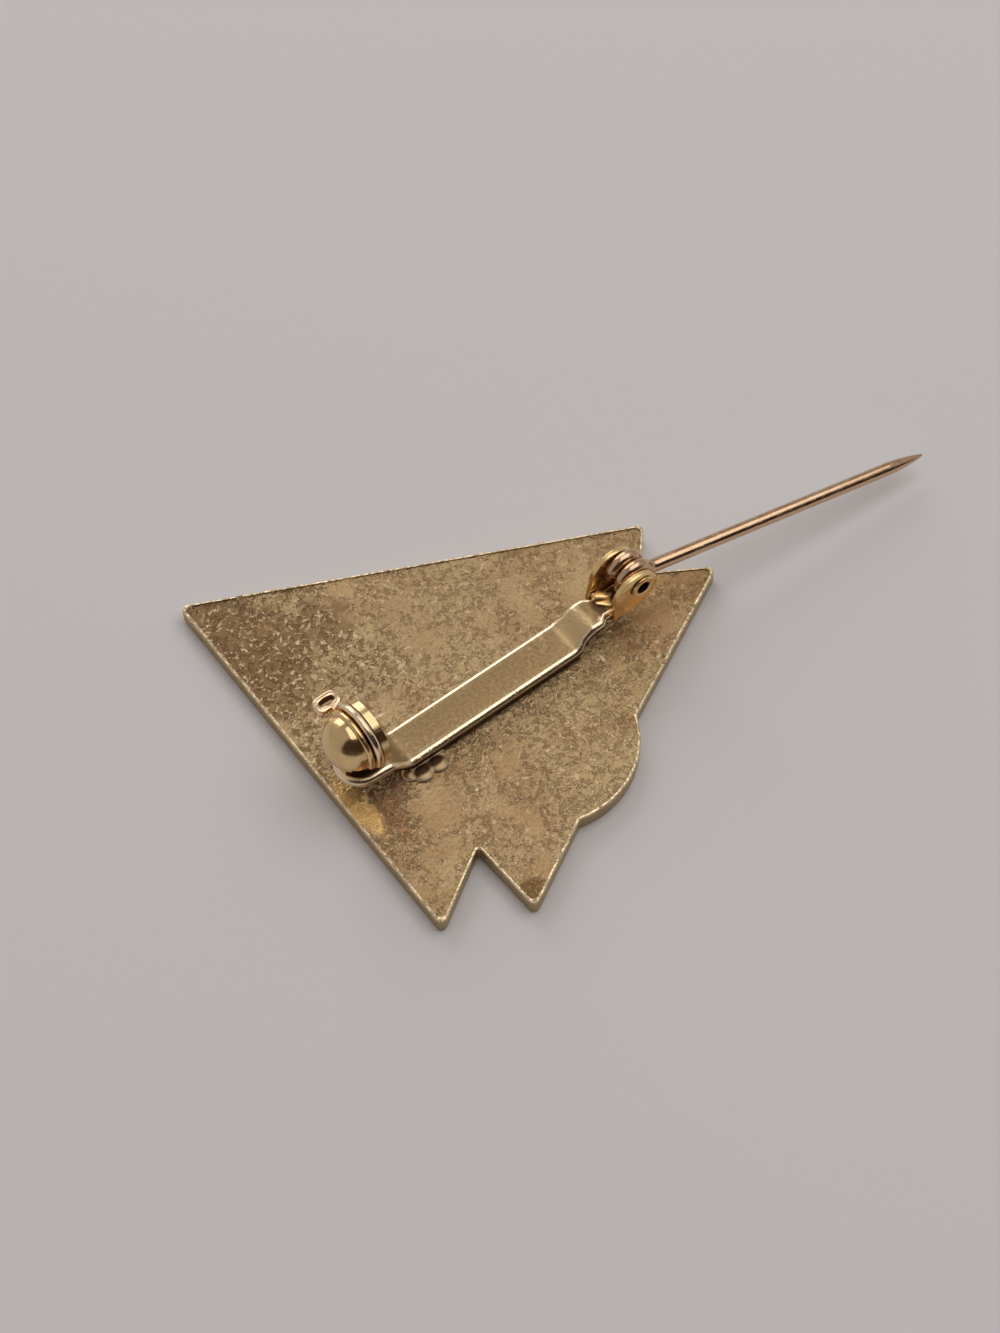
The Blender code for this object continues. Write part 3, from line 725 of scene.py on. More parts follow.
def enamel_finish():
    """Opaque fired glass: nearly even colour with faint clouds, tiny pinholes and a polished, wavy face."""
    material, tree, shader, place = new_material("dark_blue_enamel")
    clouds = noise_of(tree, place, 0.5, 4.0)
    colour = mix_colours(tree, smooth_step(tree, clouds, 0.35, 0.65), ENAMEL_DEEP, ENAMEL_BLUE)
    holes = node(tree, "ShaderNodeTexVoronoi", {"Vector": place, "Scale": 0.8})
    pinholes = smooth_step(tree, holes.outputs["Distance"], 0.03, 0.07, -0.6, 0.0)
    height = math_of(tree, "ADD", clouds, pinholes)
    rough = smooth_step(tree, clouds, 0.3, 0.7, 0.07, 0.16)
    lay_on(tree, shader, colour, height, 0.25, 0.06 * MM, rough)
    shader.inputs["Coat Weight"].default_value = 0.6
    shader.inputs["Coat Roughness"].default_value = 0.05
    return material


finish_piece(make_enamel(), "badge", enamel_finish(), stands_for="enamel_fill")

# Bar: a strip of brass sheet, soldered flat across the plate and stepped up off it at both ends.
# One end is a round pad under the catch. The other narrows to a neck before the hinge ears.
# It has the plate's finish, worn smoother, with top edges worn and painted bright as highlights, side walls
# near black from burnt flux and painted shade, and pad walls painted pale as a highlight.
BAR_WIDTH = 3.0 * MM
BAR_STRAIGHT = 13.6 * MM
STRIP_THICKNESS = 0.5 * MM
SOLDER_THICKNESS = 0.3 * MM
STEP_RISE = 1.05 * MM
STEP_RUN = 1.0 * MM
STRIP_ROUNDING = 0.38 * MM
RAMP_START = 6.5 * MM
RAMP_END = 8.3 * MM
RAMP_SLICES = 12
RAMP_SOFTNESS = 0.3 * MM
SLICE_REACH = 0.0001 * MM
SHOULDER_SHARE = 0.15
WAIST_SHARE = 0.55
WAIST_WIDTH = 2.6 * MM
NECK_START = 8.9 * MM
NECK_END = 9.4 * MM
PAD_RADIUS = 1.75 * MM
PAD_END = 11.15 * MM
CATCH_Y = 0.35 * MM
EAR_LEFT = 9.65 * MM
EAR_INSIDE = 0.98 * MM
HINGE_END = 12.05 * MM
STRIP_FOOT = PLATE_THICKNESS + SOLDER_THICKNESS
BAR_TOP = STRIP_FOOT + STRIP_THICKNESS
END_TOP = BAR_TOP + STEP_RISE
FLAT_END = BAR_STRAIGHT / 2
STEP_END = FLAT_END + STEP_RUN
NECK_HALF = 0.95 * MM
PAD_STEPS = 20
BAR_TAN = (0.34, 0.235, 0.115, 1.0)
BAR_BROWN = (0.27, 0.175, 0.08, 1.0)
BAR_PALE = (0.62, 0.47, 0.29, 1.0)
# near black walls: burnt flux and painted shade
FLUX_AND_SHADE_BROWN = (0.055, 0.022, 0.010, 1.0)
# pale pad walls: a painted highlight
PAD_WALL_HIGHLIGHT = (0.80, 0.66, 0.42, 1.0)
PAD_WALL_END = -8.6 * MM
FLUX_WALL_START = -7.9 * MM
BAR_MARK_HEIGHT = 2.0
BAR_PAINTED_LIGHT_AND_SHADE = (
    # the same columns as the plate's stains; each row is painted light or shade
    # painted shade: a dark spot on the raised end under the coil and the stop
    ((9.4, -0.1), (0.38, 0.85), 0.4, 0.9, 0.8, (0.11, 0.055, 0.03, 1.0)),
    # painted highlights: three pale spots where the step's bend catches the light
    ((8.15, -1.05), (0.10, 0.24), 0.6, 1.0, 0.8, (0.98, 0.84, 0.62, 1.0)),
    ((8.05, 0.85), (0.09, 0.22), 0.6, 1.0, 0.7, (0.98, 0.84, 0.62, 1.0)),
    ((8.95, -0.90), (0.14, 0.24), 0.6, 1.0, 0.8, (0.98, 0.84, 0.62, 1.0)),
    # painted light: both ramps lightened against the dark screen's reflection in them
    ((7.4, 0.0), (0.9, 1.6), 0.4, 0.3, 0.75, (0.90, 0.66, 0.36, 1.0)),
    ((-7.4, 0.0), (0.9, 1.6), 0.4, 0.3, 0.45, (0.62, 0.44, 0.23, 1.0)),
    # painted shade: the pad's top darkened under the dome
    ((-9.9, -0.75), (1.5, 0.62), 0.3, 0.4, 0.85, (0.035, 0.015, 0.008, 1.0)),
)


def bar_outline():
    """The strip from above, anticlockwise from its near shoulder to the round pad."""
    half = BAR_WIDTH / 2
    waist = WAIST_WIDTH / 2
    near = [
        (FLAT_END + SHOULDER_SHARE * STEP_RUN, -half),
        (FLAT_END + WAIST_SHARE * STEP_RUN, -waist),
        (NECK_START, -waist),
        (NECK_END, -NECK_HALF),
        (EAR_LEFT, -EAR_INSIDE),
        (HINGE_END, -EAR_INSIDE),
    ]
    far = [(x, -y) for x, y in reversed(near)]
    pad = [(-STEP_END, half)]
    for step in range(PAD_STEPS + 1):
        angle = math.pi / 2 + math.pi * step / PAD_STEPS
        x = PAD_RADIUS - PAD_END + PAD_RADIUS * math.cos(angle)
        pad.append((x, CATCH_Y + PAD_RADIUS * math.sin(angle)))
    pad.append((-STEP_END, -half))
    return [Vector((x, y, STRIP_FOOT)) for x, y in near + far + pad]


def make_bar():
    strip = trace("soldered_bar", bar_outline())
    thicken(strip, (0.0, 0.0, STRIP_THICKNESS))
    bend_ends(strip)

    def top_rim(edge):
        normals = sorted(face.normal.z for face in edge.link_faces)
        return len(normals) == 2 and normals[1] > 0.5 and abs(normals[0]) < 0.1

    round_off(strip, top_rim, STRIP_ROUNDING, 6)
    return strip


def bend_ends(strip):
    """Slice both ends across and lift the slices along a soft S, up to the raised level."""
    edit(strip)
    for step in range(RAMP_SLICES + 1):
        along = RAMP_START + (RAMP_END - RAMP_START) * step / RAMP_SLICES
        for side in (-1, 1):
            bpy.ops.mesh.select_all(action="SELECT")
            bpy.ops.mesh.bisect(plane_co=(side * along, 0.0, 0.0), plane_no=(1.0, 0.0, 0.0))
    shape = bmesh.from_edit_mesh(strip.data)
    for along in sorted({round(abs(vert.co.x), 7) for vert in shape.verts}):
        share = min(max((along - RAMP_START) / (RAMP_END - RAMP_START), 0.0), 1.0)
        choose(strip, "VERT", lambda vert: abs(abs(vert.co.x) - along) < SLICE_REACH)
        bpy.ops.transform.translate(value=(0.0, 0.0, STEP_RISE * share * share * (3 - 2 * share)))
    leave()


def bar_finish():
    material, tree, shader, place = metal("bar_gilt", 0.42)
    skin = use_group(tree, mottled_skin, {"Place": place, "Cover": -0.03})
    rims = use_group(tree, worn_and_highlit_rims, {"Place": place, "Axis": (0.0, 0.0, 1.0), "Broken": 0.15})
    along = part_of(tree, place, "X")
    # painted highlight on the pad's walls; burnt flux and painted shade on the other walls
    fluxed_and_shaded = smooth_step(tree, along, PAD_WALL_END / MM, FLUX_WALL_START / MM)
    wall = mix_colours(tree, fluxed_and_shaded, PAD_WALL_HIGHLIGHT, FLUX_AND_SHADE_BROWN)
    facing = node(tree, "ShaderNodeTexCoord").outputs["Normal"]
    reach = math_of(tree, "ABSOLUTE", along)
    before = smooth_step(tree, reach, RAMP_START / MM, (RAMP_START - RAMP_SOFTNESS) / MM)
    beyond = smooth_step(tree, reach, RAMP_END / MM, (RAMP_END + RAMP_SOFTNESS) / MM)
    level = math_of(tree, "MAXIMUM", before, beyond)
    endways = math_of(tree, "MULTIPLY", math_of(tree, "ABSOLUTE", part_of(tree, facing, "X")), level)
    sideways = math_of(tree, "ABSOLUTE", part_of(tree, facing, "Y"))
    outward = math_of(tree, "MAXIMUM", sideways, endways)
    # painted highlight and wear: edges tilted more than about 3 degrees, up to the walls, get the bright rim
    # colour and a low roughness
    rim = math_of(tree, "SUBTRACT", smooth_step(tree, outward, 0.05, 0.2), rims.outputs["Wall"])
    colour = mix_colours(tree, smooth_step(tree, skin.outputs["Grain"], 0.35, 0.65), BAR_BROWN, BAR_TAN)
    specks = math_of(tree, "MULTIPLY", skin.outputs["Specks"], 0.3)
    colour = mix_colours(tree, specks, colour, BAR_PALE)
    pits = math_of(tree, "MULTIPLY", skin.outputs["Pits"], 0.25)
    colour = mix_colours(tree, pits, colour, BACK_BROWN)
    colour = lay_marks_and_painted_light(tree, place, colour, BAR_PAINTED_LIGHT_AND_SHADE, BAR_MARK_HEIGHT)
    colour = mix_colours(tree, rim, colour, RIM_WEAR_AND_HIGHLIGHT)
    colour = mix_colours(tree, rims.outputs["Wall"], colour, wall)
    rough = smooth_step(tree, skin.outputs["Grain"], 0.3, 0.7, 0.5, 0.38)
    rough = mix_numbers(tree, rim, rough, 0.22)
    lay_on(tree, shader, colour, skin.outputs["Relief"], 0.3, 0.04 * MM, rough)
    return material


finish_piece(make_bar(), "badge", bar_finish(), stands_for="plate_and_bar")

# Solder: the seam that holds the bar down, and the few drops squeezed out of it beside the catch.
# It is brass-coloured hard solder; its walls are near black from burnt flux and painted shade, shade is
# painted on two of its drops by the bar, and its tilted rims are painted pale as highlights.
SEAM_INSET = 0.05 * MM
SEAM_SINK = 0.2 * MM
# pale solder rims: a painted highlight
SOLDER_HIGHLIGHT = (0.80, 0.64, 0.42, 1.0)
SOLDER_TAN = (0.42, 0.29, 0.16, 1.0)
DROP_FLATNESS = 0.4
DROPS = (
    # drops of solder beside the bar's near edge: along, across, height, radius, in mm
    (-6.90, -1.55, 1.10, 0.66),
    (-6.35, -1.95, 1.10, 0.74),
    (-5.75, -1.75, 1.10, 0.62),
    (-5.20, -1.95, 1.10, 0.72),
    (-4.85, -1.50, 1.10, 0.58),
)
SOLDER_SHADE_MARKS = (
    # the same columns as the plate's stains; both rows are painted shade on the drops beside the bar
    ((-6.35, -1.85), (0.70, 0.36), 0.3, 0.6, 0.95, (0.03, 0.012, 0.006, 1.0)),
    ((-5.25, -1.85), (0.60, 0.36), 0.3, 0.6, 0.95, (0.03, 0.012, 0.006, 1.0)),
)
SOLDER_GRAIN = 0.05 * MM
SOLDER_SMOOTHINGS = 4


def block(name, low, high):
    """A closed block between two corners."""
    corners = [(low[0], low[1]), (high[0], low[1]), (high[0], high[1]), (low[0], high[1])]
    piece = trace(name, [Vector((x, y, low[2])) for x, y in corners])
    thicken(piece, (0.0, 0.0, high[2] - low[2]))
    return piece


def make_solder():
    low = (-FLAT_END, -BAR_WIDTH / 2 + SEAM_INSET, PLATE_THICKNESS - SEAM_SINK)
    seam = block("solder_seam", low, (FLAT_END, BAR_WIDTH / 2 - SEAM_INSET, STRIP_FOOT))
    for along, across, height, radius in DROPS:
        place = Vector((along, across, height)) * MM
        combine(seam, ball("drop", place, radius * MM, (1.0, 1.0, DROP_FLATNESS)), "UNION")
    modify(seam, "REMESH", mode="VOXEL", voxel_size=SOLDER_GRAIN)
    modify(seam, "SMOOTH", factor=0.5, iterations=SOLDER_SMOOTHINGS)
    return seam


def solder_finish():
    material, tree, shader, place = metal("burnt_and_shaded_solder", 0.42)
    skin = use_group(tree, mottled_skin, {"Place": place, "Cover": 0.0})
    rims = use_group(tree, worn_and_highlit_rims, {"Place": place, "Axis": (0.0, 0.0, 1.0), "Broken": 0.1})
    # painted highlight: the tilted rims of the drops are painted pale
    colour = mix_colours(tree, rims.outputs["Rim"], SOLDER_TAN, SOLDER_HIGHLIGHT)
    colour = mix_colours(tree, rims.outputs["Wall"], colour, FLUX_AND_SHADE_BROWN)
    colour = lay_marks_and_painted_light(tree, place, colour, SOLDER_SHADE_MARKS, PLATE_MARK_HEIGHT)
    lay_on(tree, shader, colour, skin.outputs["Relief"], 0.3, 0.04 * MM)
    return material


finish_piece(make_solder(), "badge", solder_finish(), smooth=80.0)

# Hinge ears: two half-round cheeks of the bar's own sheet, bent up square beside the neck.
# Both are drilled for the rivet. Their faces stayed yellow and their sheared rims are worn bright and painted
# bright as highlights.
HINGE_X = 11.85 * MM
HINGE_Z = END_TOP + 1.7 * MM
EAR_THICKNESS = 0.35 * MM
EAR_RADIUS = 1.75 * MM
EAR_ABOVE = 1.3 * MM
EAR_FOOT_RISE = 1.3 * MM
EAR_BORE = 0.55 * MM
EAR_RIM = 0.13 * MM
EAR_BEND = 0.26 * MM
EAR_STEPS = 40
FAR_EAR_SPREAD = 0.3 * MM
EAR_GOLD = (1.0, 0.73, 0.36, 1.0)
EAR_BROWN = (0.92, 0.61, 0.27, 1.0)
EAR_RIM_PALE = (1.0, 0.80, 0.49, 1.0)


def cylinder(name, axis, centre, radius, low, high, sides=64):
    """A closed round bar along X or Y between two places, about a centre given across that axis."""
    middle = (low + high) / 2
    place = (middle, centre[0], centre[1]) if axis == "X" else (centre[0], middle, centre[1])
    turn = (0.0, math.pi / 2, 0.0) if axis == "X" else (math.pi / 2, 0.0, 0.0)
    size = {"vertices": sides, "radius": radius, "depth": high - low}
    piece = start(bpy.ops.mesh.primitive_cylinder_add, name, location=place, rotation=turn, **size)
    settle(piece)
    return piece


def soften_rims(piece, axis, width, segments=3):
    """Round the edges where a face square to an axis meets a wall."""

    def rim(edge):
        leans = sorted(abs(face.normal[axis]) for face in edge.link_faces)
        return len(leans) == 2 and leans[1] > 0.98 and leans[0] < 0.2

    round_off(piece, rim, width, segments)


def make_ear(name, side, spread):
    low = END_TOP - STRIP_THICKNESS
    centre = (EAR_LEFT + EAR_RADIUS, HINGE_Z + EAR_ABOVE - EAR_RADIUS)
    outline = [(EAR_LEFT - spread, low), (HINGE_END, low), (centre[0] + EAR_RADIUS, low + EAR_FOOT_RISE)]
    for step in range(EAR_STEPS + 1):
        angle = math.pi * step / EAR_STEPS
        outline.append((centre[0] + EAR_RADIUS * math.cos(angle), centre[1] + EAR_RADIUS * math.sin(angle)))
    inner = side * EAR_INSIDE
    outer = side * (EAR_INSIDE + EAR_THICKNESS)
    ear = trace(name, [Vector((x, inner, z)) for x, z in outline])
    thicken(ear, (0.0, outer - inner, 0.0))
    near, far = sorted((inner, outer))
    combine(ear, cylinder("bore", "Y", (HINGE_X, HINGE_Z), EAR_BORE, near - OVERSHOOT, far + OVERSHOOT))

    def bend(edge):
        return all(abs(vert.co.y - outer) + abs(vert.co.z - low) < 2 * SAME_PLACE for vert in edge.verts)

    round_off(ear, bend, EAR_BEND, 4)
    soften_rims(ear, 1, EAR_RIM)
    return ear


def make_handling_group():
    """Handling marks on bare metal: cloudy smudges and hair-fine scratches."""
    group, enter, leave_by = new_group("handled_polish", ("Place",), (), ("Smudge", "Scratch"))
    place = enter.outputs["Place"]
    drawn_out = {"Vector": place, "Rotation": (0.3, 0.5, 0.7), "Scale": (0.5, 9.0, 9.0)}
    hairs = noise_of(group, node(group, "ShaderNodeMapping", drawn_out).outputs["Vector"], 1.0, 2.0)
    away = math_of(group, "ABSOLUTE", math_of(group, "SUBTRACT", hairs, 0.5))
    smudge = smooth_step(group, noise_of(group, place, 1.1, 5.0, 0.6), 0.35, 0.65)
    scratch = math_of(group, "MULTIPLY", smooth_step(group, away, 0.0, 0.02, 1.0, 0.0), smudge)
    return put_out(group, leave_by, (smudge, scratch))


handled_polish = make_handling_group()


def worn_metal(name, axis, shade, tone, edge, polish, dull):
    """Bare fastening metal: smudged colour, hair scratches and rims worn and painted bright as highlights."""
    material, tree, shader, place = metal(name, polish)
    marks = use_group(tree, handled_polish, {"Place": place})
    smudge = marks.outputs["Smudge"]
    rims = use_group(tree, worn_and_highlit_rims, {"Place": place, "Axis": axis, "Broken": 0.15})
    colour = mix_colours(tree, smudge, shade, tone)
    # painted highlight and wear: the tilted rims take the bright edge colour
    colour = mix_colours(tree, rims.outputs["Rim"], colour, edge)
    height = math_of(tree, "MULTIPLY", smudge, 0.3)
    height = math_of(tree, "SUBTRACT", height, marks.outputs["Scratch"])
    lay_on(tree, shader, colour, height, 0.2, 0.02 * MM, mix_numbers(tree, smudge, polish, dull))
    return material


ear_finish = worn_metal("ear_gilt", (0.0, 1.0, 0.0), EAR_BROWN, EAR_GOLD, EAR_RIM_PALE, 0.2, 0.34)
for ear in (make_ear("near_ear", -1, 0.0), make_ear("far_ear", 1, FAR_EAR_SPREAD)):
    finish_piece(ear, "badge", ear_finish, stands_for="plate_and_bar")

# Coil stop: a small tongue, taken to be of the same sheet, raised between the ears just before the coil.
# It is taken for the stop that keeps the wire from turning too far. It is stepped: a foot and a curled top.
STOP_FOOT = (
    # outline of the foot from above: along the bar, across it, in mm
    (9.55, 0.90),
    (9.35, 0.10),
    (10.00, -0.55),
    (10.45, -0.40),
    (10.20, 0.90),
)
STOP_TOP = (
    (9.45, 0.85),
    (9.40, 0.35),
    (10.20, -0.15),
    (10.55, 0.05),
    (10.05, 0.80),
)
STOP_FOOT_RISE = 0.2 * MM
STOP_RISE = 0.55 * MM
STOP_SINK = 0.05 * MM
STOP_ROUNDING = 0.07 * MM


def make_stop():
    foot = trace("coil_stop", [Vector((x * MM, y * MM, END_TOP - STOP_SINK)) for x, y in STOP_FOOT])
    thicken(foot, (0.0, 0.0, STOP_SINK + STOP_FOOT_RISE))
    top = trace("stop_top", [Vector((x * MM, y * MM, END_TOP)) for x, y in STOP_TOP])
    thicken(top, (0.0, 0.0, STOP_RISE))
    soften_rims(top, 2, 2 * STOP_ROUNDING, 4)
    soften_rims(foot, 2, STOP_ROUNDING)
    return combine(foot, top, "UNION")


stop_finish = worn_metal("stop_metal", (0.0, 0.0, 1.0), EAR_BROWN, EAR_GOLD, EAR_RIM_PALE, 0.2, 0.32)
finish_piece(make_stop(), "badge", stop_finish, stands_for="plate_and_bar")

# Catch housing: a plain ring cheek and a domed cheek, each on its own neck, soldered on the round pad.
# Both are bored for the rotor's hub and slotted low on one side, where the stem comes in.
# The metal is paler and more polished than the plate, and it mirrors the lamps and the dark screen.
CATCH_X = -9.3 * MM
CATCH_Z = END_TOP + 2.62 * MM
ROTOR_RADIUS = 2.36 * MM
ROTOR_THICKNESS = 0.5 * MM
CHEEK_GAP = 0.06 * MM
CHEEK_FACE = CATCH_X + ROTOR_THICKNESS / 2 + CHEEK_GAP
CHEEK_RADIUS = 2.2 * MM
CHEEK_THICKNESS = 0.5 * MM
CHEEK_RIM = 0.24 * MM
DOME_FACE = CATCH_X - ROTOR_THICKNESS / 2 - CHEEK_GAP
FLANGE_THICKNESS = 0.42 * MM
FLANGE_RADIUS = 2.16 * MM
FLANGE_STEPS = 8
DOME_RADIUS = 1.92 * MM
DOME_DEPTH = 1.65 * MM
DOME_WALL = 0.7 * MM
DOME_NECK_LENGTH = 1.2 * MM
DOME_STEPS = 20
HUB_RADIUS = 1.05 * MM
HUB_BORE = HUB_RADIUS + CHEEK_GAP
THROAT_WIDTH = 1.12 * MM
THROAT_ANGLE = math.radians(215)
NECK_LOW = -0.1 * MM
NECK_HIGH = 1.4 * MM
NECK_SINK = 0.15 * MM
NECK_BELOW_HUB = 0.3 * MM
NECK_TOP = CATCH_Z - HUB_RADIUS - NECK_BELOW_HUB
DOME_ROOT = DOME_FACE - FLANGE_THICKNESS
DOME_FLOOR = DOME_ROOT - DOME_DEPTH + DOME_WALL
TURN_STEPS = 96
CATCH_PALE = (0.82, 0.59, 0.31, 1.0)
CATCH_TAN = (0.72, 0.49, 0.25, 1.0)
CATCH_RIM = (0.98, 0.86, 0.60, 1.0)


def spun(piece, centre, axis):
    """Turn the selected line a full circle about an axis, and close the seam and the poles."""
    bpy.ops.mesh.spin(steps=TURN_STEPS, angle=2 * math.pi, center=centre, axis=axis)
    clean_up()
    settle(piece)
    return piece


def throat_cutter(low, high):
    """The slot by which the stem comes in, from the catch's middle out past its rim."""
    outward = Vector((0.0, math.cos(THROAT_ANGLE), math.sin(THROAT_ANGLE)))
    side = Vector((0.0, -outward.z, outward.y)) * THROAT_WIDTH / 2
    centre = Vector((low, CATCH_Y, CATCH_Z))
    far = centre + outward * (ROTOR_RADIUS + OVERSHOOT)
    cutter = trace("throat", [centre - side, far - side, far + side, centre + side])
    thicken(cutter, (high - low, 0.0, 0.0))
    return cutter


def bore_and_slot(piece, radius, low, high):
    combine(piece, cylinder("bore", "X", (CATCH_Y, CATCH_Z), radius, low, high))
    return combine(piece, throat_cutter(low, high))


def make_cheek():
    end = CHEEK_FACE + CHEEK_THICKNESS
    cheek = cylinder("catch_cheek", "X", (CATCH_Y, CATCH_Z), CHEEK_RADIUS, CHEEK_FACE, end, TURN_STEPS)
    low = (CHEEK_FACE, NECK_LOW, END_TOP - NECK_SINK)
    combine(cheek, block("neck", low, (end, NECK_HIGH, NECK_TOP)), "UNION")
    bore_and_slot(cheek, HUB_BORE, DOME_FLOOR, end + OVERSHOOT)
    soften_rims(cheek, 0, CHEEK_RIM)
    return cheek


def make_dome():
    """The domed cheek, turned from its profile: flange, dome and the blind bore."""
    profile = [(DOME_FLOOR, 0.0), (DOME_FLOOR, HUB_BORE), (DOME_FACE, HUB_BORE)]
    half = FLANGE_THICKNESS / 2
    for step in range(FLANGE_STEPS + 1):
        angle = math.pi * step / FLANGE_STEPS
        inward = half * (1 - math.cos(angle))
        profile.append((DOME_FACE - inward, FLANGE_RADIUS - half + half * math.sin(angle)))
    for step in range(DOME_STEPS + 1):
        angle = math.pi / 2 * step / DOME_STEPS
        profile.append((DOME_ROOT - DOME_DEPTH * math.sin(angle), DOME_RADIUS * math.cos(angle)))
    piece = draw_chain("catch_dome", [Vector((x, CATCH_Y, CATCH_Z + radius)) for x, radius in profile])
    dome = spun(piece, (0.0, CATCH_Y, CATCH_Z), (1.0, 0.0, 0.0))
    low = (DOME_FACE - DOME_NECK_LENGTH, NECK_LOW, END_TOP - NECK_SINK)
    combine(dome, block("neck", low, (DOME_FACE, NECK_HIGH, NECK_TOP)), "UNION")
    return bore_and_slot(dome, HUB_BORE, DOME_FLOOR, DOME_FACE + OVERSHOOT)


cheek_finish = worn_metal("cheek_metal", (1.0, 0.0, 0.0), CATCH_TAN, CATCH_PALE, CATCH_RIM, 0.11, 0.2)
dome_finish = worn_metal("dome_metal", (1.0, 0.0, 0.0), CATCH_TAN, CATCH_PALE, CATCH_PALE, 0.11, 0.2)
for housing, finish in ((make_cheek(), cheek_finish), (make_dome(), dome_finish)):
    finish_piece(housing, "badge", finish, stands_for="plate_and_bar")

# Hinge rivet: a brass rivet through both ears, taken to be hollow, each end rolled into a small open head.
# The wire's coil turns on it. Its heads are worn and painted bright as highlights at their rims, and the
# inside of its bore is painted dark as shade.
RIVET_RADIUS = 0.49 * MM
RIVET_BORE = 0.40 * MM
RIVET_FLARE = 0.52 * MM
RIVET_HEAD_RADIUS = 0.86 * MM
RIVET_HEAD_HEIGHT = 0.12 * MM
RIVET_GAP = 0.06 * MM
RIVET_ROUNDING = 0.05 * MM
RIVET_GOLD = (0.98, 0.78, 0.42, 1.0)
RIVET_BROWN = (0.80, 0.56, 0.28, 1.0)
# painted shade inside the rivet's bore
BORE_SHADE = (0.03, 0.012, 0.008, 1.0)
BORE_DARK_LENGTH = 9 * EAR_INSIDE


def make_rivet():
    seat = EAR_INSIDE + EAR_THICKNESS + RIVET_GAP
    end = seat + RIVET_HEAD_HEIGHT
    mouth = end - (RIVET_FLARE - RIVET_BORE)
    outside = [(end, RIVET_HEAD_RADIUS - RIVET_ROUNDING), (end - RIVET_ROUNDING, RIVET_HEAD_RADIUS)]
    outside += [(seat, RIVET_HEAD_RADIUS), (seat, RIVET_RADIUS)]
    middle = ((mouth + 2 * end) / 3, (RIVET_BORE * 2 + RIVET_FLARE) / 3)
    inside = [(mouth, RIVET_BORE), middle, (end, RIVET_FLARE)]
    half = outside + [(-y, radius) for y, radius in reversed(outside)]
    profile = half + [(-y, radius) for y, radius in reversed(inside)] + inside
    profile.append(profile[0])
    piece = draw_chain("tube_rivet", [Vector((HINGE_X, y, HINGE_Z + radius)) for y, radius in profile])
    return spun(piece, (HINGE_X, 0.0, HINGE_Z), (0.0, 1.0, 0.0))


def tint_inside(material, centre, reach, tint, blend):
    """Blend a tint into the colour inside an oval room about a centre, both given in metres."""
    tree = material.node_tree
    shader = tree.nodes["Principled BSDF"]
    clean = shader.inputs["Base Color"].links[0].from_socket
    place = next(made for made in tree.nodes if made.bl_idname == "ShaderNodeMapping").outputs["Vector"]
    values = {"Centre": Vector(centre) / MM, "Reach": Vector(reach) / MM, "Edge": 0.06, "Ragged": 0.0}
    inside = use_group(tree, soft_oval, {"Place": place, **values}).outputs["Within"]
    tree.links.new(mix_colours(tree, inside, clean, tint, blend), shader.inputs["Base Color"])


rivet_finish = worn_metal("rivet_brass", (0.0, 1.0, 0.0), RIVET_BROWN, RIVET_GOLD, EAR_RIM_PALE, 0.18, 0.3)
hollow = (RIVET_FLARE, BORE_DARK_LENGTH, RIVET_FLARE)
# painted shade: the bore is darkened all along its length
tint_inside(rivet_finish, (HINGE_X, 0.0, HINGE_Z), hollow, BORE_SHADE, "MULTIPLY")
finish_piece(make_rivet(), "badge", rivet_finish, stands_for="hinge_rivet")

# Pin stem: one hard-drawn wire, wound twice round the rivet and ground to a long point.
# It is plated and polished, so it shows the bright and dark of the room in bands along its length.
WIRE_RADIUS = 0.45 * MM
COIL_RADIUS = 1.02 * MM
TURN_PITCH = 0.94 * MM
WIRE_END_ANGLE = 520.0
LEAVE_ANGLE = 24.0
CROSSING_ANGLE = 380.0
CROSSED_ANGLE = 205.0
COIL_STEPS = 130
BEND_STEPS = 14
ROOT_REACH = 1.9 * MM
STEM_DROP = 0.25 * MM
STEM_LENGTH = 21.9 * MM
STEM_DIP = math.radians(7.9)
STEM_SPLAY = math.radians(7.2)
POINT_LENGTH = 3.0 * MM
POINT_RADIUS = 0.06 * MM
POINT_STEPS = 12
POINT_BOW = 0.72
STEM_PALE = (0.68, 0.47, 0.30, 1.0)
STEM_ROSE = (0.58, 0.37, 0.22, 1.0)


def coil_points():
    """The wire's middle line round the coil, from its cut end over the far turn to the near turn."""
    points = []
    for step in range(COIL_STEPS + 1):
        angle = WIRE_END_ANGLE + (LEAVE_ANGLE - WIRE_END_ANGLE) * step / COIL_STEPS
        share = min(max((angle - CROSSED_ANGLE) / (CROSSING_ANGLE - CROSSED_ANGLE), 0.0), 1.0)
        eased = share * share * (3 - 2 * share)
        turn = math.radians(angle)
        x = HINGE_X + COIL_RADIUS * math.cos(turn)
        z = HINGE_Z + COIL_RADIUS * math.sin(turn)
        points.append(Vector((x, (eased - 0.5) * TURN_PITCH, z)))
    return points


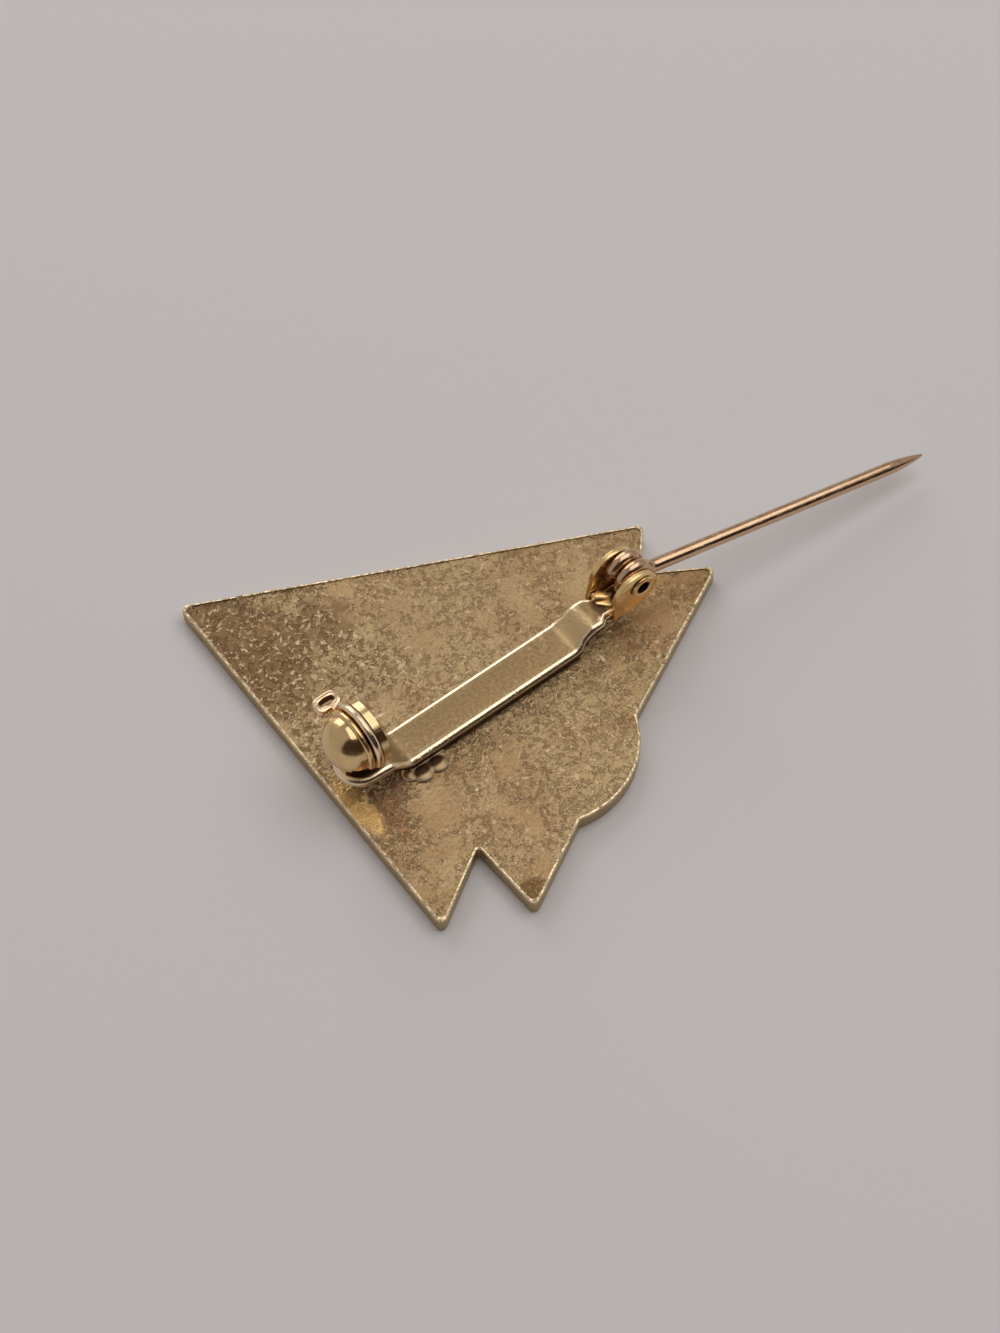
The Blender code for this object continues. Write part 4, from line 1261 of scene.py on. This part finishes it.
def stem_points():
    """Middle line and radius of the whole wire: coil, root bend, shank and ground point."""
    root = Vector((HINGE_X + ROOT_REACH, -TURN_PITCH / 2, HINGE_Z - STEM_DROP))
    flat = math.cos(STEM_DIP)
    along = Vector((math.cos(STEM_SPLAY) * flat, -math.sin(STEM_SPLAY) * flat, -math.sin(STEM_DIP)))
    coil = coil_points()
    leave_place = coil[-1]
    heading = (coil[-1] - coil[-2]).normalized()
    gap = (root - leave_place).length / 2
    bend = []
    for step in range(1, BEND_STEPS):
        t = step / BEND_STEPS
        near = leave_place * (1 - t) + (leave_place + heading * gap) * 3 * t
        far = (root - along * gap) * 3 * (1 - t) + root * t
        bend.append(near * (1 - t) ** 2 + far * t * t)
    rows = [(place, WIRE_RADIUS) for place in coil + bend + [root]]
    for step in range(POINT_STEPS + 1):
        share = step / POINT_STEPS
        radius = POINT_RADIUS + (WIRE_RADIUS - POINT_RADIUS) * (1 - share ** (1 / POINT_BOW)) ** POINT_BOW
        rows.append((root + along * (STEM_LENGTH - POINT_LENGTH * (1 - share)), radius))
    return rows


def make_stem():
    rows = stem_points()
    line = bpy.data.curves.new("stem_line", "CURVE")
    line.dimensions = "3D"
    line.bevel_depth = 1.0
    line.bevel_resolution = 10
    line.use_fill_caps = True
    spline = line.splines.new("POLY")
    spline.points.add(len(rows) - 1)
    for point, (place, radius) in zip(spline.points, rows):
        point.co = (*place, 1.0)
        point.radius = radius
    wire = bpy.data.objects.new("stem_wire", line)
    bpy.context.scene.collection.objects.link(wire)
    pick(wire)
    bpy.ops.object.convert(target="MESH")
    return wire


stem_finish = worn_metal("stem_plating", (0.0, 0.0, 1.0), STEM_ROSE, STEM_PALE, STEM_PALE, 0.1, 0.16)
finish_piece(make_stem(), "stem", stem_finish, smooth=60.0, stands_for="pin_stem")

# Catch rotor: a slotted disc on a hub, held between the two cheeks, with a square loop for a fingernail.
# Turning it a quarter turn closes the slot. The loop's coppery plating is worn from handling, and the inner
# walls of its eye are painted dark as shade.
STEM_HOLE = 0.58 * MM
HUB_END_GAP = 0.47 * MM
ROTOR_RIM = 0.2 * MM
LOOP_LENGTH = 1.75 * MM
LOOP_DEPTH = 1.15 * MM
LOOP_WALL = 0.36 * MM
LOOP_THICKNESS = 0.6 * MM
LOOP_REACH = 3.7 * MM
LOOP_SHIFT = 0.2 * MM
LOOP_CORNER = 0.42 * MM
LOOP_EYE_CORNER = 0.14 * MM
LOOP_RIM = 0.15 * MM
# painted shade on the inner walls of the loop's eye
EYE_SHADE = (0.10, 0.035, 0.012, 1.0)
EYE_DARK_SHARE = 0.8
STALK_WIDTH = 0.45 * MM
STALK_SINK = 0.15 * MM
ROTOR_RIM_PALE = (0.97, 0.86, 0.74, 1.0)
LOOP_ROSE = (0.95, 0.68, 0.45, 1.0)


def rounded_block(name, low, high, corner):
    """A closed block whose four upright corners are rounded."""
    piece = block(name, low, high)

    def upright(edge):
        first, second = edge.verts
        return abs(first.co.z - second.co.z) > 0.5 * (high[2] - low[2])

    round_off(piece, upright, corner, 5)
    return piece


def make_loop():
    low = CATCH_Z - LOOP_THICKNESS / 2
    high = CATCH_Z + LOOP_THICKNESS / 2
    outer = CATCH_Y + LOOP_REACH
    inner = outer - LOOP_DEPTH
    left = CATCH_X - LOOP_SHIFT - LOOP_LENGTH / 2
    right = left + LOOP_LENGTH
    loop = rounded_block("loop", (left, inner, low), (right, outer, high), LOOP_CORNER)
    eye_low = (left + LOOP_WALL, inner + LOOP_WALL, low - OVERSHOOT)
    eye_high = (right - LOOP_WALL, outer - LOOP_WALL, high + OVERSHOOT)
    combine(loop, rounded_block("eye", eye_low, eye_high, LOOP_EYE_CORNER))
    soften_rims(loop, 2, LOOP_RIM)
    half = STALK_WIDTH / 2
    root = CATCH_Y + ROTOR_RADIUS - STALK_SINK
    stalk = block("stalk", (CATCH_X - half, root, low), (CATCH_X + half, inner + STALK_SINK, high))
    return combine(loop, stalk, "UNION")


def make_rotor():
    half = ROTOR_THICKNESS / 2
    centre = (CATCH_Y, CATCH_Z)
    rotor = cylinder("rotor_disc", "X", centre, ROTOR_RADIUS, CATCH_X - half, CATCH_X + half, TURN_STEPS)
    soften_rims(rotor, 0, ROTOR_RIM)
    near_end = CHEEK_FACE + CHEEK_THICKNESS
    far_end = DOME_FLOOR + HUB_END_GAP
    combine(rotor, cylinder("hub", "X", centre, HUB_RADIUS, far_end, near_end, TURN_STEPS), "UNION")
    combine(rotor, make_loop(), "UNION")
    return bore_and_slot(rotor, STEM_HOLE, far_end - OVERSHOOT, near_end + OVERSHOOT)


rotor_finish = worn_metal("rotor_plating", (1.0, 0.0, 0.0), CATCH_TAN, CATCH_PALE, ROTOR_RIM_PALE, 0.12, 0.22)
eye_centre = (CATCH_X - LOOP_SHIFT, CATCH_Y + LOOP_REACH - LOOP_DEPTH / 2, CATCH_Z)
eye_height = EYE_DARK_SHARE * LOOP_THICKNESS
eye_reach = (LOOP_LENGTH / 2 - LOOP_WALL / 2, LOOP_DEPTH / 2 - LOOP_WALL / 2, eye_height)
tint_inside(rotor_finish, eye_centre, (LOOP_LENGTH, LOOP_DEPTH, LOOP_LENGTH), LOOP_ROSE, "MIX")
# painted shade: the eye's inner walls darkened where the catch shades them
tint_inside(rotor_finish, eye_centre, eye_reach, EYE_SHADE, "MULTIPLY")
finish_piece(make_rotor(), "rotor", rotor_finish, stands_for="catch_rotor")
